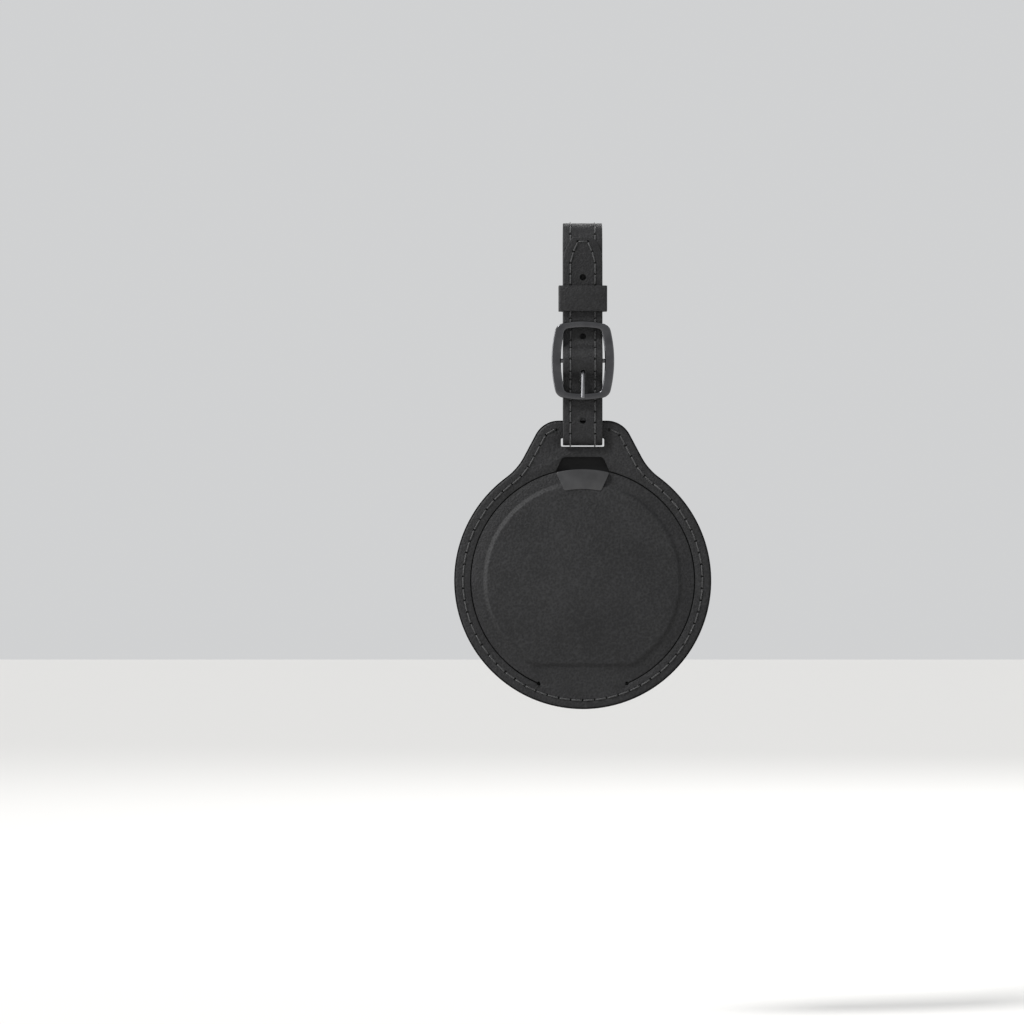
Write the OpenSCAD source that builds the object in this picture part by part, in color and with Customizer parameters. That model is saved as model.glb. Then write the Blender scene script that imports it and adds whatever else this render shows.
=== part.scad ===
// Luggage tag with a sealed tracker module: a pear-shaped leather tag on a buckled leather strap.
// A round flap in its face opens downwards over the address card, the pairing button and the sounder.
// Frame: +Z up, the face looks along -Y, and the origin is the middle of the space where a handle goes.
// Inside each module, heights are measured from the middle of the disc and depths from mid thickness.

/* [Tag outline] */
// Radius of the round part of the tag
disc_r = 36; // [33:0.5:42]
// Rise of the head's top edge above the top of the disc
head_rise = 8.8; // [7:0.1:14]
// Radius of the head's two upper corners
head_corner_r = 7.3; // [5:0.1:9]
// Sideways distance from the middle to each corner's centre
head_corner_x = 6.7; // [5:0.1:9]
// Lean of the head's flanks from the vertical
flank_angle = 28; // [22:1:34]
// Radius of the hollow between flank and disc
neck_r = 16.8; // [12:0.2:22]

/* [Tag layers] */
// Thickness of the face and back leather
leather_t = 1; // [0.8:0.1:1.4]
// Thickness of the moulded core between the leathers
core_t = 4.8; // [4.6:0.1:6]
// How far the core stays inside the leather edge
core_inset = 0.3; // [0.2:0.1:0.8]
// Height of the round pad pressed into the back leather
pad_rise = 0.4; // [0.2:0.1:0.8]
// Radius of that pad
pad_r = 27; // [20:1:28]

/* [Strap slot] */
// Room between strap and slot on each side
slot_side = 0.6; // [0.3:0.05:1.2]
// Room between strap and slot, below and above
slot_play = 0.4; // [0.35:0.05:0.8]
// Drop of the slot's lower edge below the head's top edge
slot_drop = 7.3; // [6.3:0.1:8]

/* [Flap] */
// Width of the rim from the flap to the edge of the disc
flap_rim = 4.8; // [4.4:0.1:7]
// Width of the slit around the flap
slit_w = 0.3; // [0.2:0.05:0.6]
// Height of the hinge line above the flap's lowest point
hinge_rise = 2.4; // [1.7:0.1:3.2]
// Gap between flap and chin leather at the hinge line
hinge_gap = 0.15; // [0.1:0.05:0.4]
// Radius of the holes that end the slit
stop_hole_r = 0.5; // [0.4:0.1:0.8]
// Width of the flat band round the raised part
rise_in = 3.1; // [2.4:0.1:4.2]
// Height of the raised part
rise_h = 0.8; // [0.5:0.1:1.2]
// Width of the slope around the raised part
rise_slope = 1.5; // [1:0.1:2]
// Height of its straight lower side above the lowest point of its circle
rise_chord = 3.7; // [2.6:0.1:4.6]
// Thickness of the board in the flap
board_t = 0.8; // [0.5:0.1:1]
// Thickness of the flap's lining
liner_t = 0.4; // [0.3:0.1:0.5]

/* [Pull tab] */
// Half width of the metal tab at its widest
tab_half_w = 7.3; // [6:0.1:8]
// Half width of its inner edge
tab_half_in = 5.1; // [4:0.1:6]
// Length of the tab from the flap's rim inwards
tab_len = 5.6; // [4.5:0.1:6.5]
// How far the tab stands out of the raised part
tab_proud = 0.25; // [0.1:0.05:0.5]
// Thickness of the plate behind it
backplate_t = 0.5; // [0.4:0.1:0.6]
// Rise of the finger notch above the flap's top
notch_rise = 3.4; // [2.8:0.1:4]
// Half width of the finger notch at its top
notch_half_w = 5.7; // [4:0.1:6.4]
// Radius of the finger notch's corners
notch_r = 1.5; // [0.8:0.1:1.6]

/* [Module] */
// How far the module's rim lies inside the flap's edge
module_in = 0.3; // [0.3:0.1:0.7]
// Thickness of the module's floor and lid
shell_t = 0.6; // [0.5:0.1:0.7]
// Thickness of the module's rim wall
shell_wall = 1; // [0.9:0.1:1.2]
// Width of the address card
card_w = 40; // [30:1:42]
// Height of the address card
card_h = 30; // [20:1:31]
// Thickness of card and of its clear window
card_t = 0.3; // [0.2:0.05:0.4]
// Radius of the pairing button
button_r = 2.5; // [2:0.1:3]
// Travel of the pairing button
button_travel = 0.4; // [0.2:0.1:0.5]

/* [Strap] */
// Width of the strap
strap_w = 11; // [10:0.1:11.4]
// Thickness of each of its two plies
ply_t = 0.8; // [0.6:0.05:0.9]
// Gap between the strap and the tag's faces
leg_gap = 1; // [0.8:0.1:1.4]
// Inside radius of the strap's bend over a handle
handle_r = 6.5; // [6:0.1:9]
// Rise of the strap's top above the head's top edge
strap_rise = 55.6; // [54:0.1:75]
// Drop of the strap's point below the top of the loop
tip_below = 4.4; // [3:0.1:8]
// Length of the curved point of the strap
tip_len = 7.2; // [6:0.1:9]
// How much each side of the point narrows
tip_narrow = 2.6; // [1.5:0.1:3.2]
// Radius of the punched holes
hole_r = 0.9; // [0.8:0.05:1.1]
// Distance from the strap's edge to its stitching
strap_stitch_in = 2.05; // [1.8:0.05:2.5]
// Distance from the tag's edge to its stitching
tag_stitch_in = 2.5; // [2:0.1:3.2]
// Width of a line of thread
thread_w = 0.45; // [0.3:0.05:0.6]

/* [Buckle] */
// Room between strap and frame on each side
frame_side = 0.65; // [0.5:0.05:1.2]
// Height of the buckle frame
frame_h = 22; // [21:0.1:24]
// Width of the frame's side rails
rail_w = 2.6; // [2:0.1:2.8]
// Wall of the lugs and of the prong's eye round the bar
lug_wall = 0.7; // [0.5:0.05:0.9]
// Width of the prong's eye
eye_w = 2.2; // [1.8:0.1:2.6]
// How far each end of the bar stops short of the frame's side
bar_short = 0.6; // [0.4:0.1:1]
// Length of the folded strap end above the bar
fold_len = 12.5; // [11:0.1:13.5]
// Height of the middle hole above the bar
hole_rise = 6.75; // [6:0.05:7.5]
// Drop from the strap's top to the upper hole
hole_drop = 15.6; // [14.5:0.1:16.5]
// Width of the frame's top and bottom rails
end_rail_w = 1.8; // [1.5:0.1:2.2]
// Thickness of the frame
frame_t = 1.85; // [1.6:0.05:2.2]
// Radius of the bar through the frame
bar_r = 0.6; // [0.5:0.05:0.7]
// Rise of the bar above the head's top edge
bar_rise = 16.7; // [15:0.1:22]
// Length of the strap's rise on each side of the bar
rise_len = 6.5; // [6:0.1:7]
// Radius of the prong
prong_r = 0.55; // [0.45:0.05:0.6]
// Height of the sliding loop
keeper_h = 7.2; // [5:0.1:9]
// Thickness of the sliding loop's leather
keeper_t = 1; // [0.8:0.1:1.2]
// Rise of the sliding loop's lower edge above the bar
keeper_rise = 13.8; // [13.5:0.1:17]
// Bow of the frame's sides, as the radius of their curve
side_bow_r = 36; // [24:1:60]
// Bow of its top and bottom, as the radius of their curve
end_bow_r = 26; // [20:1:60]
// Radius of its outer corners
frame_corner = 2.7; // [2:0.1:3.5]

/* [Hidden] */
// The lugs stop this far inside the rail at each side, and sit this far towards the middle
lug_in = 0.2;
lug_shift = 0.1;

$fn = 64;
eps = 0.01;

// Clearances
fit = 0.05;        // between pieces that are pressed or laid together
layer_gap = 0.1;   // between two layers of strap
frame_gap = 0.3;   // between strap and buckle frame
core_gap = 0.3;    // between module and core
prong_play = 0.42; // room for the prong in its hole
bar_set = 0.3;     // how far the bar sits behind the frame

// Places that follow from the disc, measured from its middle
head_h = disc_r + head_rise;
slot_w = strap_w + 2 * slot_side;
slot_z = head_h - slot_drop;
flap_r = disc_r - flap_rim;
hinge_drop = flap_r - hinge_rise;
rise_r = flap_r - rise_in;
rise_drop = rise_r - rise_chord;
notch_top = flap_r + notch_rise;
module_r = flap_r - module_in;

// Depths of the tag's layers, front is negative
half_t = core_t / 2 + leather_t;
face_y = -half_t;
core_front = -core_t / 2;
core_back = core_t / 2;
rise_y = face_y - rise_h;
tab_y = rise_y - tab_proud;
liner_back = core_front + liner_t;
module_front = core_front + backplate_t + 0.2;
card_face = module_front + 2 * card_t;
module_back = core_back - 0.1;
cavity_front = card_face + shell_t;
cavity_back = module_back - shell_t;
cavity_r = module_r - shell_wall;
pocket_r = module_r + core_gap;
opening_r = flap_r + slit_w;

// Places on the module's face
card_z = -4;
card_margin = 1;
button_x = 12;
control_z = 17.5;
sounder_x = -12;
sounder_r = 6.5;
led_x = 3.5;
led_r = 0.9;
magnet_x = 4;
magnet_z = flap_r - 3.2;
magnet_r = 1.5;
magnet_t = 0.5;
boss_r = 1.5;
boss_ring = cavity_r - boss_r + 0.2;
screw_r = 0.5;
screw_head_r = 1;
screw_head_t = 0.35;
split_y = cavity_front + 0.9;

// Places inside the module
coil_in = 9;
coil_out = 20.5;
coil_t = 0.25;
ferrite_t = 0.25;
ring_in = 22;
ring_out = 26;
ring_t = 0.45;
cell_w = 30;
cell_h = 24;
cell_z = -8;
board_back = cavity_back - coil_t - ferrite_t - 0.15;
pcb_t = 0.6;
pcb_front = board_back - pcb_t;
chip_t = 0.6;
dome_t = 0.25;
dome_front = pcb_front - dome_t;
stem_r = 0.7;

// Strap levels
strap_t = 2 * ply_t;
tail_y = -(half_t + leg_gap + ply_t);
main_y = tail_y + strap_t + layer_gap;
strap_top = head_h + strap_rise;
bend_r = handle_r + ply_t;
bend_c = [main_y + bend_r, strap_top - ply_t - bend_r];
slot_mid = slot_z + slot_play + ply_t;
slot_h = strap_t + 2 * slot_play;
slot_bend = 2 * ply_t;
fold_offset = strap_t + layer_gap;
bar_z = head_h + bar_rise;
fold_end = bar_z + fold_len;
tip_z = strap_top - tip_below;
tip_r = (tip_len * tip_len + tip_narrow * tip_narrow) / (2 * tip_narrow);
stitch_x = strap_w / 2 - strap_stitch_in;

// Buckle levels and the strap's rise over the bar
frame_back = tail_y - ply_t - frame_gap;
frame_front = frame_back - frame_t;
bar_y = frame_back + bar_set;
bar_hug = bar_r + fit;
crest_y = bar_y - (bar_hug + ply_t + layer_gap + ply_t);
rise_d = tail_y - crest_y;
sweep_r = (rise_len * rise_len + rise_d * rise_d) / (4 * rise_d);
sweep_a = 2 * atan(rise_d / rise_len);
frame_w = strap_w + 2 * (rail_w + frame_side);
keeper_z = bar_z + keeper_rise;
eye_r = bar_r + lug_wall;
prong_tip_z = bar_z - frame_h / 2 + 0.3;
rail_run = [frame_h / 2 - end_rail_w, bar_y - frame_front + fit];
prong_lean = atan2(rail_run.y, rail_run.x) + asin(prong_r / norm(rail_run));
hole_zs = [head_h, bar_z + hole_rise, strap_top - hole_drop];

// The axis of the bend over the handle is the origin
origin = [0, bend_c.x, bend_c.y];

// ---- Outlines ----

function arc(c, r, a0, a1, n) = [for (i = [0:n]) let (a = a0 + (a1 - a0) * i / n) c + r * [cos(a), sin(a)]];
function flipped(p) = [for (i = [len(p) - 1:-1:0]) [-p[i].x, p[i].y]];
function backwards(p) = [for (i = [len(p) - 1:-1:0]) p[i]];
function without_first(p) = [for (i = [1:len(p) - 1]) p[i]];

// Centre of the hollow that touches both the flank and the disc
corner_c = [head_corner_x, head_h - head_corner_r];
flank_n = [cos(flank_angle), sin(flank_angle)];
flank_d = [sin(flank_angle), -cos(flank_angle)];
neck_base = corner_c + (head_corner_r + neck_r) * flank_n;
neck_b = neck_base * flank_d;
neck_t = -neck_b - sqrt(neck_b * neck_b - neck_base * neck_base + pow(disc_r + neck_r, 2));
neck_c = neck_base + neck_t * flank_d;
neck_a = atan2(neck_c.y, neck_c.x);

// The tag's outline, taken in by inset on every side
function half_pear(inset) = concat(
    arc(corner_c, head_corner_r - inset, 90, flank_angle, 10),
    arc(neck_c, neck_r + inset, 180 + flank_angle, 180 + neck_a, 8),
    without_first(arc([0, 0], disc_r - inset, neck_a, -90, 48)));
function pear(inset) = let (half = half_pear(inset)) concat(half, without_first(flipped(half)));

// A flat shape drawn upright, from depth front to depth back
module slab(front, back)
    translate([0, back, 0]) rotate([90, 0, 0]) linear_extrude(back - front) children();

// A disc or a hole with its axis along the depth
module plug(r, front, back, x = 0, z = 0)
    translate([x, back, z]) rotate([90, 0, 0]) cylinder(r = r, h = back - front);

module placed() translate(-origin) children();

module tag_outline(inset = 0) polygon(pear(inset));

module slot_outline()
    translate([-slot_w / 2, slot_z]) square([slot_w, slot_h]);

// The shape above the hinge line
module above(z, reach = 60)
    translate([-reach, z]) square([2 * reach, 2 * reach]);

module tab_outline(grow = 0)
    offset(r = 0.5 + grow) offset(delta = -0.5)
        intersection() {
            circle(r = flap_r);
            difference() {
                polygon([
                    [-tab_half_w - 1, flap_r + 1], [-tab_half_w, flap_r - 1.4],
                    [-tab_half_in, flap_r - tab_len - 0.6],
                    [tab_half_in, flap_r - tab_len - 0.6],
                    [tab_half_w, flap_r - 1.4], [tab_half_w + 1, flap_r + 1]]);
                circle(r = flap_r - tab_len);
            }
        }

module notch_outline()
    offset(r = notch_r) offset(delta = -notch_r)
        polygon([
            [-notch_half_w, notch_top], [notch_half_w, notch_top],
            [tab_half_w + 0.2, notch_top - 4], [tab_half_w, flap_r - 4],
            [-tab_half_w, flap_r - 4], [-tab_half_w - 0.2, notch_top - 4]]);

// The line of stitching around the tag
module stitch_band(w)
    difference() {
        tag_outline(tag_stitch_in - w / 2);
        tag_outline(tag_stitch_in + w / 2);
        translate([0, head_h]) square([strap_w + 1.4, 2 * tag_stitch_in + 2], center = true);
    }

groove_w = thread_w + 0.15;
groove_d = 0.3;

// ---- Tag body ----

module front_panel() {
    color([0.16, 0.16, 0.17]) placed() difference() {
        slab(face_y, core_front) difference() {
            tag_outline();
            slot_outline();
            notch_outline();
            intersection() {
                circle(r = opening_r);
                above(-hinge_drop);
            }
        }
        slab(face_y - eps, face_y + groove_d) stitch_band(groove_w);
        stop_holes();
    }
}

// Round holes that keep the slit's ends from tearing
module stop_holes()
    for (side = [-1, 1])
        plug(stop_hole_r, face_y - eps, core_front + eps,
             side * sqrt(pow(flap_r + slit_w / 2, 2) - pow(hinge_drop, 2)), -hinge_drop);

module rear_panel() {
    color([0.16, 0.16, 0.17]) placed() difference() {
        union() {
            slab(core_back, half_t) difference() {
                tag_outline();
                slot_outline();
            }
            plug(pad_r, half_t - eps, half_t + pad_rise);
        }
        slab(half_t - groove_d, half_t + eps) stitch_band(groove_w);
    }
}

module core_frame() {
    color([0.09, 0.09, 0.09]) placed() difference() {
        slab(core_front, core_back) difference() {
            tag_outline(core_inset);
            slot_outline();
            circle(r = pocket_r);
        }
        slab(core_front - eps, core_front + 1) notch_outline();
    }
}

module perimeter_thread() {
    color([0.2, 0.2, 0.2]) placed() {
        slab(face_y, face_y + groove_d - fit / 2) stitch_band(thread_w);
        slab(half_t - groove_d + fit / 2, half_t) stitch_band(thread_w);
    }
}

// ---- Flap ----

module flap_outline(r)
    intersection() {
        circle(r = r);
        above(-hinge_drop + hinge_gap);
    }

module flap_leather() {
    color([0.16, 0.16, 0.17]) placed() difference() {
        union() {
            slab(face_y, core_front) flap_outline(flap_r);
            intersection() {
                translate([0, face_y + eps, 0]) rotate([90, 0, 0])
                    cylinder(r1 = rise_r, r2 = rise_r - rise_slope, h = rise_h + eps);
                slab(rise_y - 1, face_y + 1) above(-rise_drop);
            }
        }
        slab(core_front - board_t - fit, core_front + eps) flap_board_outline(fit);
        slab(rise_y - 1, core_front + eps) tab_outline(fit);
        stop_holes();
    }
}

module flap_board_outline(grow = 0)
    difference() {
        intersection() {
            circle(r = rise_r - rise_slope - 1 + grow);
            above(-rise_drop + 1.2 - grow);
        }
        tab_outline(1.2 - grow);
    }

module flap_board() {
    color([0.55, 0.5, 0.42]) placed()
        slab(core_front - board_t, core_front) flap_board_outline();
}

module flap_liner() {
    color([0.22, 0.22, 0.23]) placed()
        slab(core_front, liner_back) difference() {
            flap_outline(flap_r - 0.6);
            backplate_outline(0.2);
        }
}

module backplate_outline(grow = 0)
    intersection() {
        circle(r = flap_r - 0.5 + grow);
        translate([-tab_half_w + 0.8 - grow, flap_r - tab_len - 1 - grow])
            square([2 * (tab_half_w - 0.8 + grow), tab_len + 2]);
    }

module pull_tab() {
    color([0.32, 0.32, 0.32]) placed()
        slab(tab_y, core_front) tab_outline();
}

module tab_backplate() {
    color([0.5, 0.5, 0.52]) placed()
        slab(core_front, core_front + backplate_t) backplate_outline();
}

// ---- Address card ----

module card_outline(grow = 0)
    translate([0, card_z]) offset(r = 2)
        square([card_w - 4 + 2 * grow, card_h - 4 + 2 * grow], center = true);

module id_window() {
    color([0.85, 0.9, 0.95, 0.4]) placed()
        slab(module_front, module_front + card_t) card_outline(card_margin);
}

module id_card() {
    color([0.93, 0.92, 0.88]) placed()
        slab(module_front + card_t, card_face) card_outline();
}

// ---- Module ----

screw_angles = [45, 135, 225, 315];

module at_screws()
    for (a = screw_angles)
        translate([boss_ring * cos(a), 0, boss_ring * sin(a)]) children();

module gasket_ring(grow, front, back)
    difference() {
        plug(module_r - shell_wall / 2 + 0.2 + grow, front, back);
        plug(module_r - shell_wall / 2 - 0.2 - grow, front - eps, back + eps);
    }

module module_front_shell() {
    color([0.07, 0.07, 0.08]) placed() difference() {
        union() {
            difference() {
                plug(module_r, module_front, split_y);
                plug(cavity_r, cavity_front, split_y + eps);
            }
            at_screws() plug(boss_r, cavity_front - eps, split_y);
        }
        slab(module_front - eps, module_front + card_t + fit) card_outline(card_margin + fit);
        slab(module_front, card_face) card_outline(fit);
        plug(button_r + 0.15, module_front - eps, cavity_front + eps, button_x, control_z);
        plug(led_r + fit / 2, module_front - eps, cavity_front + eps, led_x, control_z);
        for (a = [0:60:300])
            plug(0.5, module_front - eps, cavity_front + eps,
                 sounder_x + 2.2 * cos(a), control_z + 2.2 * sin(a));
        plug(0.5, module_front - eps, cavity_front + eps, sounder_x, control_z);
        for (side = [-1, 1])
            plug(magnet_r + fit, module_front - eps, module_front + magnet_t + fit,
                side * magnet_x, magnet_z);
        gasket_ring(fit, split_y - 0.25, split_y + eps);
        at_screws() plug(screw_r + fit, cavity_front + 0.2, split_y + eps);
    }
}

module module_rear_shell() {
    color([0.07, 0.07, 0.08]) placed() difference() {
        union() {
            difference() {
                plug(module_r, split_y, module_back);
                plug(cavity_r, split_y - eps, cavity_back);
            }
            at_screws() plug(boss_r, split_y, cavity_back + eps);
        }
        gasket_ring(fit, split_y - eps, split_y + 0.25);
        at_screws() plug(screw_r + fit, split_y - eps, module_back + eps);
        at_screws() plug(screw_head_r + fit, module_back - screw_head_t - fit, module_back + eps);
    }
}

module module_gasket() {
    color([0.35, 0.12, 0.1]) placed()
        gasket_ring(0, split_y - 0.22, split_y + 0.22);
}

module module_screws() {
    color([0.7, 0.7, 0.72]) placed() at_screws() {
        plug(screw_r, cavity_front + 0.3, module_back - screw_head_t + eps);
        difference() {
            plug(screw_head_r, module_back - screw_head_t, module_back);
            plug(0.35, module_back - 0.2, module_back + eps, $fn = 6);
        }
    }
}

module module_adhesive() {
    color([0.9, 0.88, 0.8]) placed() difference() {
        plug(module_r - 3.5, module_back, core_back);
        plug(coil_out + 1, module_back - eps, core_back + eps);
    }
}

module circuit_board() {
    color([0.08, 0.25, 0.15]) placed() difference() {
        slab(pcb_front, board_back) difference() {
            circle(r = cavity_r - 0.4);
            translate([-cavity_r, -2 * cavity_r + cell_z + cell_h / 2 + 0.8]) square(2 * cavity_r);
            for (a = screw_angles)
                translate(boss_ring * [cos(a), sin(a)]) circle(r = boss_r + 0.3);
        }
    }
}

module radio_chip() {
    color([0.06, 0.06, 0.07]) placed()
        translate([-3, pcb_front - chip_t, 9]) cube([6, chip_t, 6]);
}

module board_components() {
    color([0.35, 0.3, 0.22]) placed() {
        translate([-14, pcb_front - 0.5, 6.2]) cube([4, 0.5, 3]);
        translate([6, pcb_front - 0.5, 7]) cube([3, 0.5, 2.4]);
        translate([5.5, pcb_front - 0.5, 11.5]) cube([2, 0.5, 1.6]);
        for (i = [0:5])
            translate([12 + 1.6 * i, pcb_front - 0.35, 7]) cube([1, 0.35, 0.5]);
        for (i = [0:3])
            translate([-5.5, pcb_front - 0.35, 8.5 + 1.5 * i]) cube([0.5, 0.35, 1]);
    }
}

module antenna() {
    color([0.75, 0.6, 0.35]) placed()
        translate([0, pcb_front, 0]) rotate([90, 0, 0]) rotate([0, 0, 65])
            rotate_extrude(angle = 50) translate([cavity_r - 2.4, 0]) square([1.2, 0.2]);
}

module battery() {
    color([0.62, 0.64, 0.67]) placed()
        translate([-cell_w / 2, cavity_front + 0.1, cell_z - cell_h / 2])
            cube([cell_w, board_back - 0.05 - cavity_front - 0.1, cell_h]);
}

module charging_coil() {
    color([0.72, 0.42, 0.24]) placed()
        difference() {
            plug(coil_out, cavity_back - coil_t, cavity_back);
            plug(coil_in, cavity_back - coil_t - eps, cavity_back + eps);
        }
}

module ferrite_sheet() {
    color([0.2, 0.2, 0.22]) placed()
        plug(coil_out + 0.8, cavity_back - coil_t - ferrite_t, cavity_back - coil_t);
}

module alignment_magnets() {
    color([0.6, 0.6, 0.63]) placed()
        for (i = [0:15])
            translate([0, cavity_back, 0]) rotate([90, 0, 0]) rotate([0, 0, i * 22.5 + 1.5])
                rotate_extrude(angle = 19.5) translate([ring_in, 0]) square([ring_out - ring_in, ring_t]);
}

module closure_magnets() {
    color([0.7, 0.7, 0.72]) placed()
        for (side = [-1, 1])
            plug(magnet_r, module_front, module_front + magnet_t, side * magnet_x, magnet_z);
}

module sounder_plate() {
    color([0.8, 0.65, 0.3]) placed()
        plug(sounder_r, cavity_front + 0.02, cavity_front + 0.17, sounder_x, control_z);
}

module sounder_ceramic() {
    color([0.85, 0.84, 0.8]) placed()
        plug(sounder_r - 2, cavity_front + 0.17, cavity_front + 0.3, sounder_x, control_z);
}

module dome_switch() {
    color([0.78, 0.78, 0.8]) placed()
        difference() {
            translate([button_x - 2, dome_front, control_z - 2]) cube([4, dome_t, 4]);
            plug(0.4, dome_front - eps, dome_front + 0.1, button_x, control_z);
        }
}

// A cap flush with the module's face, on a stem that reaches the dome
module pair_button() {
    color([0.12, 0.12, 0.13]) placed() {
        plug(button_r, module_front, cavity_front, button_x, control_z);
        plug(stem_r, cavity_front - eps, dome_front - button_travel - 0.02, button_x, control_z);
    }
}

// A soft flange behind the cap, which keeps it in and water out
module button_seal() {
    color([0.3, 0.3, 0.32]) placed()
        difference() {
            plug(button_r + 1, cavity_front + 0.02, cavity_front + 0.14, button_x, control_z);
            plug(stem_r, cavity_front, cavity_front + 0.2, button_x, control_z);
        }
}

module light_pipe() {
    color([0.9, 0.92, 0.95, 0.6]) placed()
        plug(led_r, module_front, cavity_front + 0.2, led_x, control_z);
}

// ---- Strap ----

// A strap path is a list of [depth, height] points. Its outer side is on the left.
function left(path, i) =
    let (a = path[max(i - 1, 0)], b = path[min(i + 1, len(path) - 1)], d = (b - a) / norm(b - a)) [-d.y, d.x];
function ribbon(path, outer, inner) = concat(
    [for (i = [0:len(path) - 1]) path[i] + outer * left(path, i)],
    [for (i = [len(path) - 1:-1:0]) path[i] + inner * left(path, i)]);
// The same for the lining, which is thinned in the upper bend, where bend_liner fills it up
function in_bend(p) = p.y > bend_c.y + eps && norm(p - bend_c) < bend_r + eps;
function lining_ribbon(path) = concat(
    path,
    [for (i = [len(path) - 1:-1:0]) path[i] - ply_t * (in_bend(path[i]) ? 0.5 : 1) * left(path, i)]);

module band(path, outer, inner, w)
    rotate([90, 0, 90]) linear_extrude(w, center = true) polygon(ribbon(path, outer, inner));

// Upper half of the strap's rise over the bar, shifted back by offset, from the bar upwards
function crest(offset) = arc([crest_y + sweep_r, bar_z], sweep_r - offset, 180, 180 - sweep_a, 6);
function foot(offset) = arc([tail_y - sweep_r, bar_z + rise_len], sweep_r + offset, -sweep_a, 0, 6);
function sweep(offset) = concat(crest(offset), without_first(foot(offset)));
function below_bar(path) = [for (p = path) [p.x, 2 * bar_z - p.y]];

// Where the slanted rear leg leaves the upper bend
lower_rear = [half_t + leg_gap + ply_t, head_h];
leg_run = lower_rear - bend_c;
leg_a = atan2(leg_run.y, leg_run.x) + acos(bend_r / norm(leg_run));

// Folded end: down behind the strap, round the bar and up the front leg
fold_path = concat(
    [[tail_y + fold_offset + ply_t + fit, fold_end]],
    backwards(foot(fold_offset + ply_t + fit)),
    arc([bar_y, bar_z], bar_hug, 0, -180, 12),
    without_first(sweep(fold_offset)));

// Over the handle, down the back and through the slot
loop_path = concat(
    arc(bend_c, bend_r, 180, leg_a, 24),
    [lower_rear],
    arc([lower_rear.x - slot_bend, slot_mid + slot_bend], slot_bend, 0, -90, 5),
    arc([tail_y + slot_bend, slot_mid + slot_bend], slot_bend, -90, -180, 5));

// Up the front and over the bar to the point
tail_path = concat(
    backwards(below_bar(sweep(0))),
    without_first(sweep(0)),
    [[tail_y, tip_z]]);

outer_path = concat(fold_path, loop_path, tail_path);
lining_path = concat(
    [for (p = sweep(fold_offset)) if (p.y > bar_z + rise_len * 0.4) p],
    loop_path, tail_path);

// Depth and lean of the tail at a height
function tail_at(z) =
    let (dz = abs(z - bar_z), s = z < bar_z ? -1 : 1)
    dz >= rise_len ? [tail_y, 0]
    : dz > rise_len / 2 ? let (a = asin((rise_len - dz) / sweep_r)) [tail_y - sweep_r * (1 - cos(a)), s * a]
    : let (a = asin(dz / sweep_r)) [crest_y + sweep_r * (1 - cos(a)), s * a];

module through_tail(z) {
    at = tail_at(z);
    translate([0, at[0], z]) rotate([90 + at[1], 0, 0]) children();
}

// Half of the strap's point, with its edge taken in by inset
function tip_half(inset) = concat(
    [[strap_w / 2 - inset, tip_z - tip_len - 1]],
    arc([strap_w / 2 - tip_r, tip_z - tip_len], tip_r - inset, 0,
        asin((tip_len - inset) / (tip_r - inset)), 8));
function tip(inset) = concat(tip_half(inset), flipped(tip_half(inset)));

module tip_cut()
    slab(tail_y - ply_t - 1, tail_y + ply_t + layer_gap / 2) difference() {
        translate([-strap_w, tip_z - tip_len]) square([2 * strap_w, tip_len + 1]);
        polygon(tip(0));
    }

module strap_holes() {
    for (z = hole_zs)
        through_tail(z) cylinder(r = hole_r, h = strap_t + layer_gap, center = true);
    at_prong() translate([0, 0, eye_r]) cylinder(r = prong_r + prong_play, h = rise_len + 1);
}

// From the bar outwards along the prong
module at_prong()
    translate([0, bar_y, bar_z]) rotate([180 - prong_lean, 0, 0]) children();

module prong_gap()
    translate([-eye_w / 2 - 0.4, bar_y - eye_r - 0.3, bar_z - eye_r - 1.1])
        cube([eye_w + 0.8, 4, 2 * eye_r + 1.6]);

// A U of stitching that follows the point
module tip_band(w)
    difference() {
        polygon(tip(strap_stitch_in - w / 2));
        polygon(tip(strap_stitch_in + w / 2));
        translate([-strap_w, tip_z - tip_len - 2]) square([2 * strap_w, 2]);
    }

// The same path, stopped where the point begins
function before_tip(path) =
    concat([for (i = [0:len(path) - 2]) path[i]], [[tail_y, tip_z - tip_len]]);

module stitch_rows(path, outer, inner, w)
    for (side = [-1, 1])
        translate([side * stitch_x, 0, 0]) band(before_tip(path), outer, inner, w);

module strap_outer() {
    color([0.17, 0.17, 0.18]) placed() {
        difference() {
            band(outer_path, ply_t, 0, strap_w);
            prong_gap();
            stitch_rows(outer_path, ply_t + eps, ply_t - groove_d, groove_w);
            slab(tail_y - ply_t - eps, tail_y - ply_t + groove_d) tip_band(groove_w);
            strap_holes();
            tip_cut();
        }
    }
}

// The round inner face of the bend that a handle lies in
module bend_liner()
    translate([0, bend_c.x, bend_c.y]) rotate([90, 0, 90]) rotate([0, 0, leg_a])
        rotate_extrude(angle = 180 - leg_a)
            translate([handle_r, -strap_w / 2]) square([0.7 * ply_t, strap_w]);

module strap_lining() {
    color([0.12, 0.12, 0.13]) placed()
        difference() {
            union() {
                rotate([90, 0, 90]) linear_extrude(strap_w, center = true)
                    polygon(lining_ribbon(lining_path));
                bend_liner();
            }
            stitch_rows(lining_path, -ply_t + groove_d, -ply_t - eps, groove_w);
            strap_holes();
            tip_cut();
        }
}

module strap_thread() {
    color([0.22, 0.22, 0.22]) placed() {
        stitch_rows(outer_path, ply_t, ply_t - groove_d + fit / 2, thread_w);
        stitch_rows(lining_path, -ply_t + groove_d - fit / 2, -ply_t, thread_w);
        slab(tail_y - ply_t, tail_y - ply_t + groove_d - fit / 2) tip_band(thread_w);
    }
}

// ---- Buckle ----

frame_inner_corner = frame_corner - 1.2;

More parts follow.
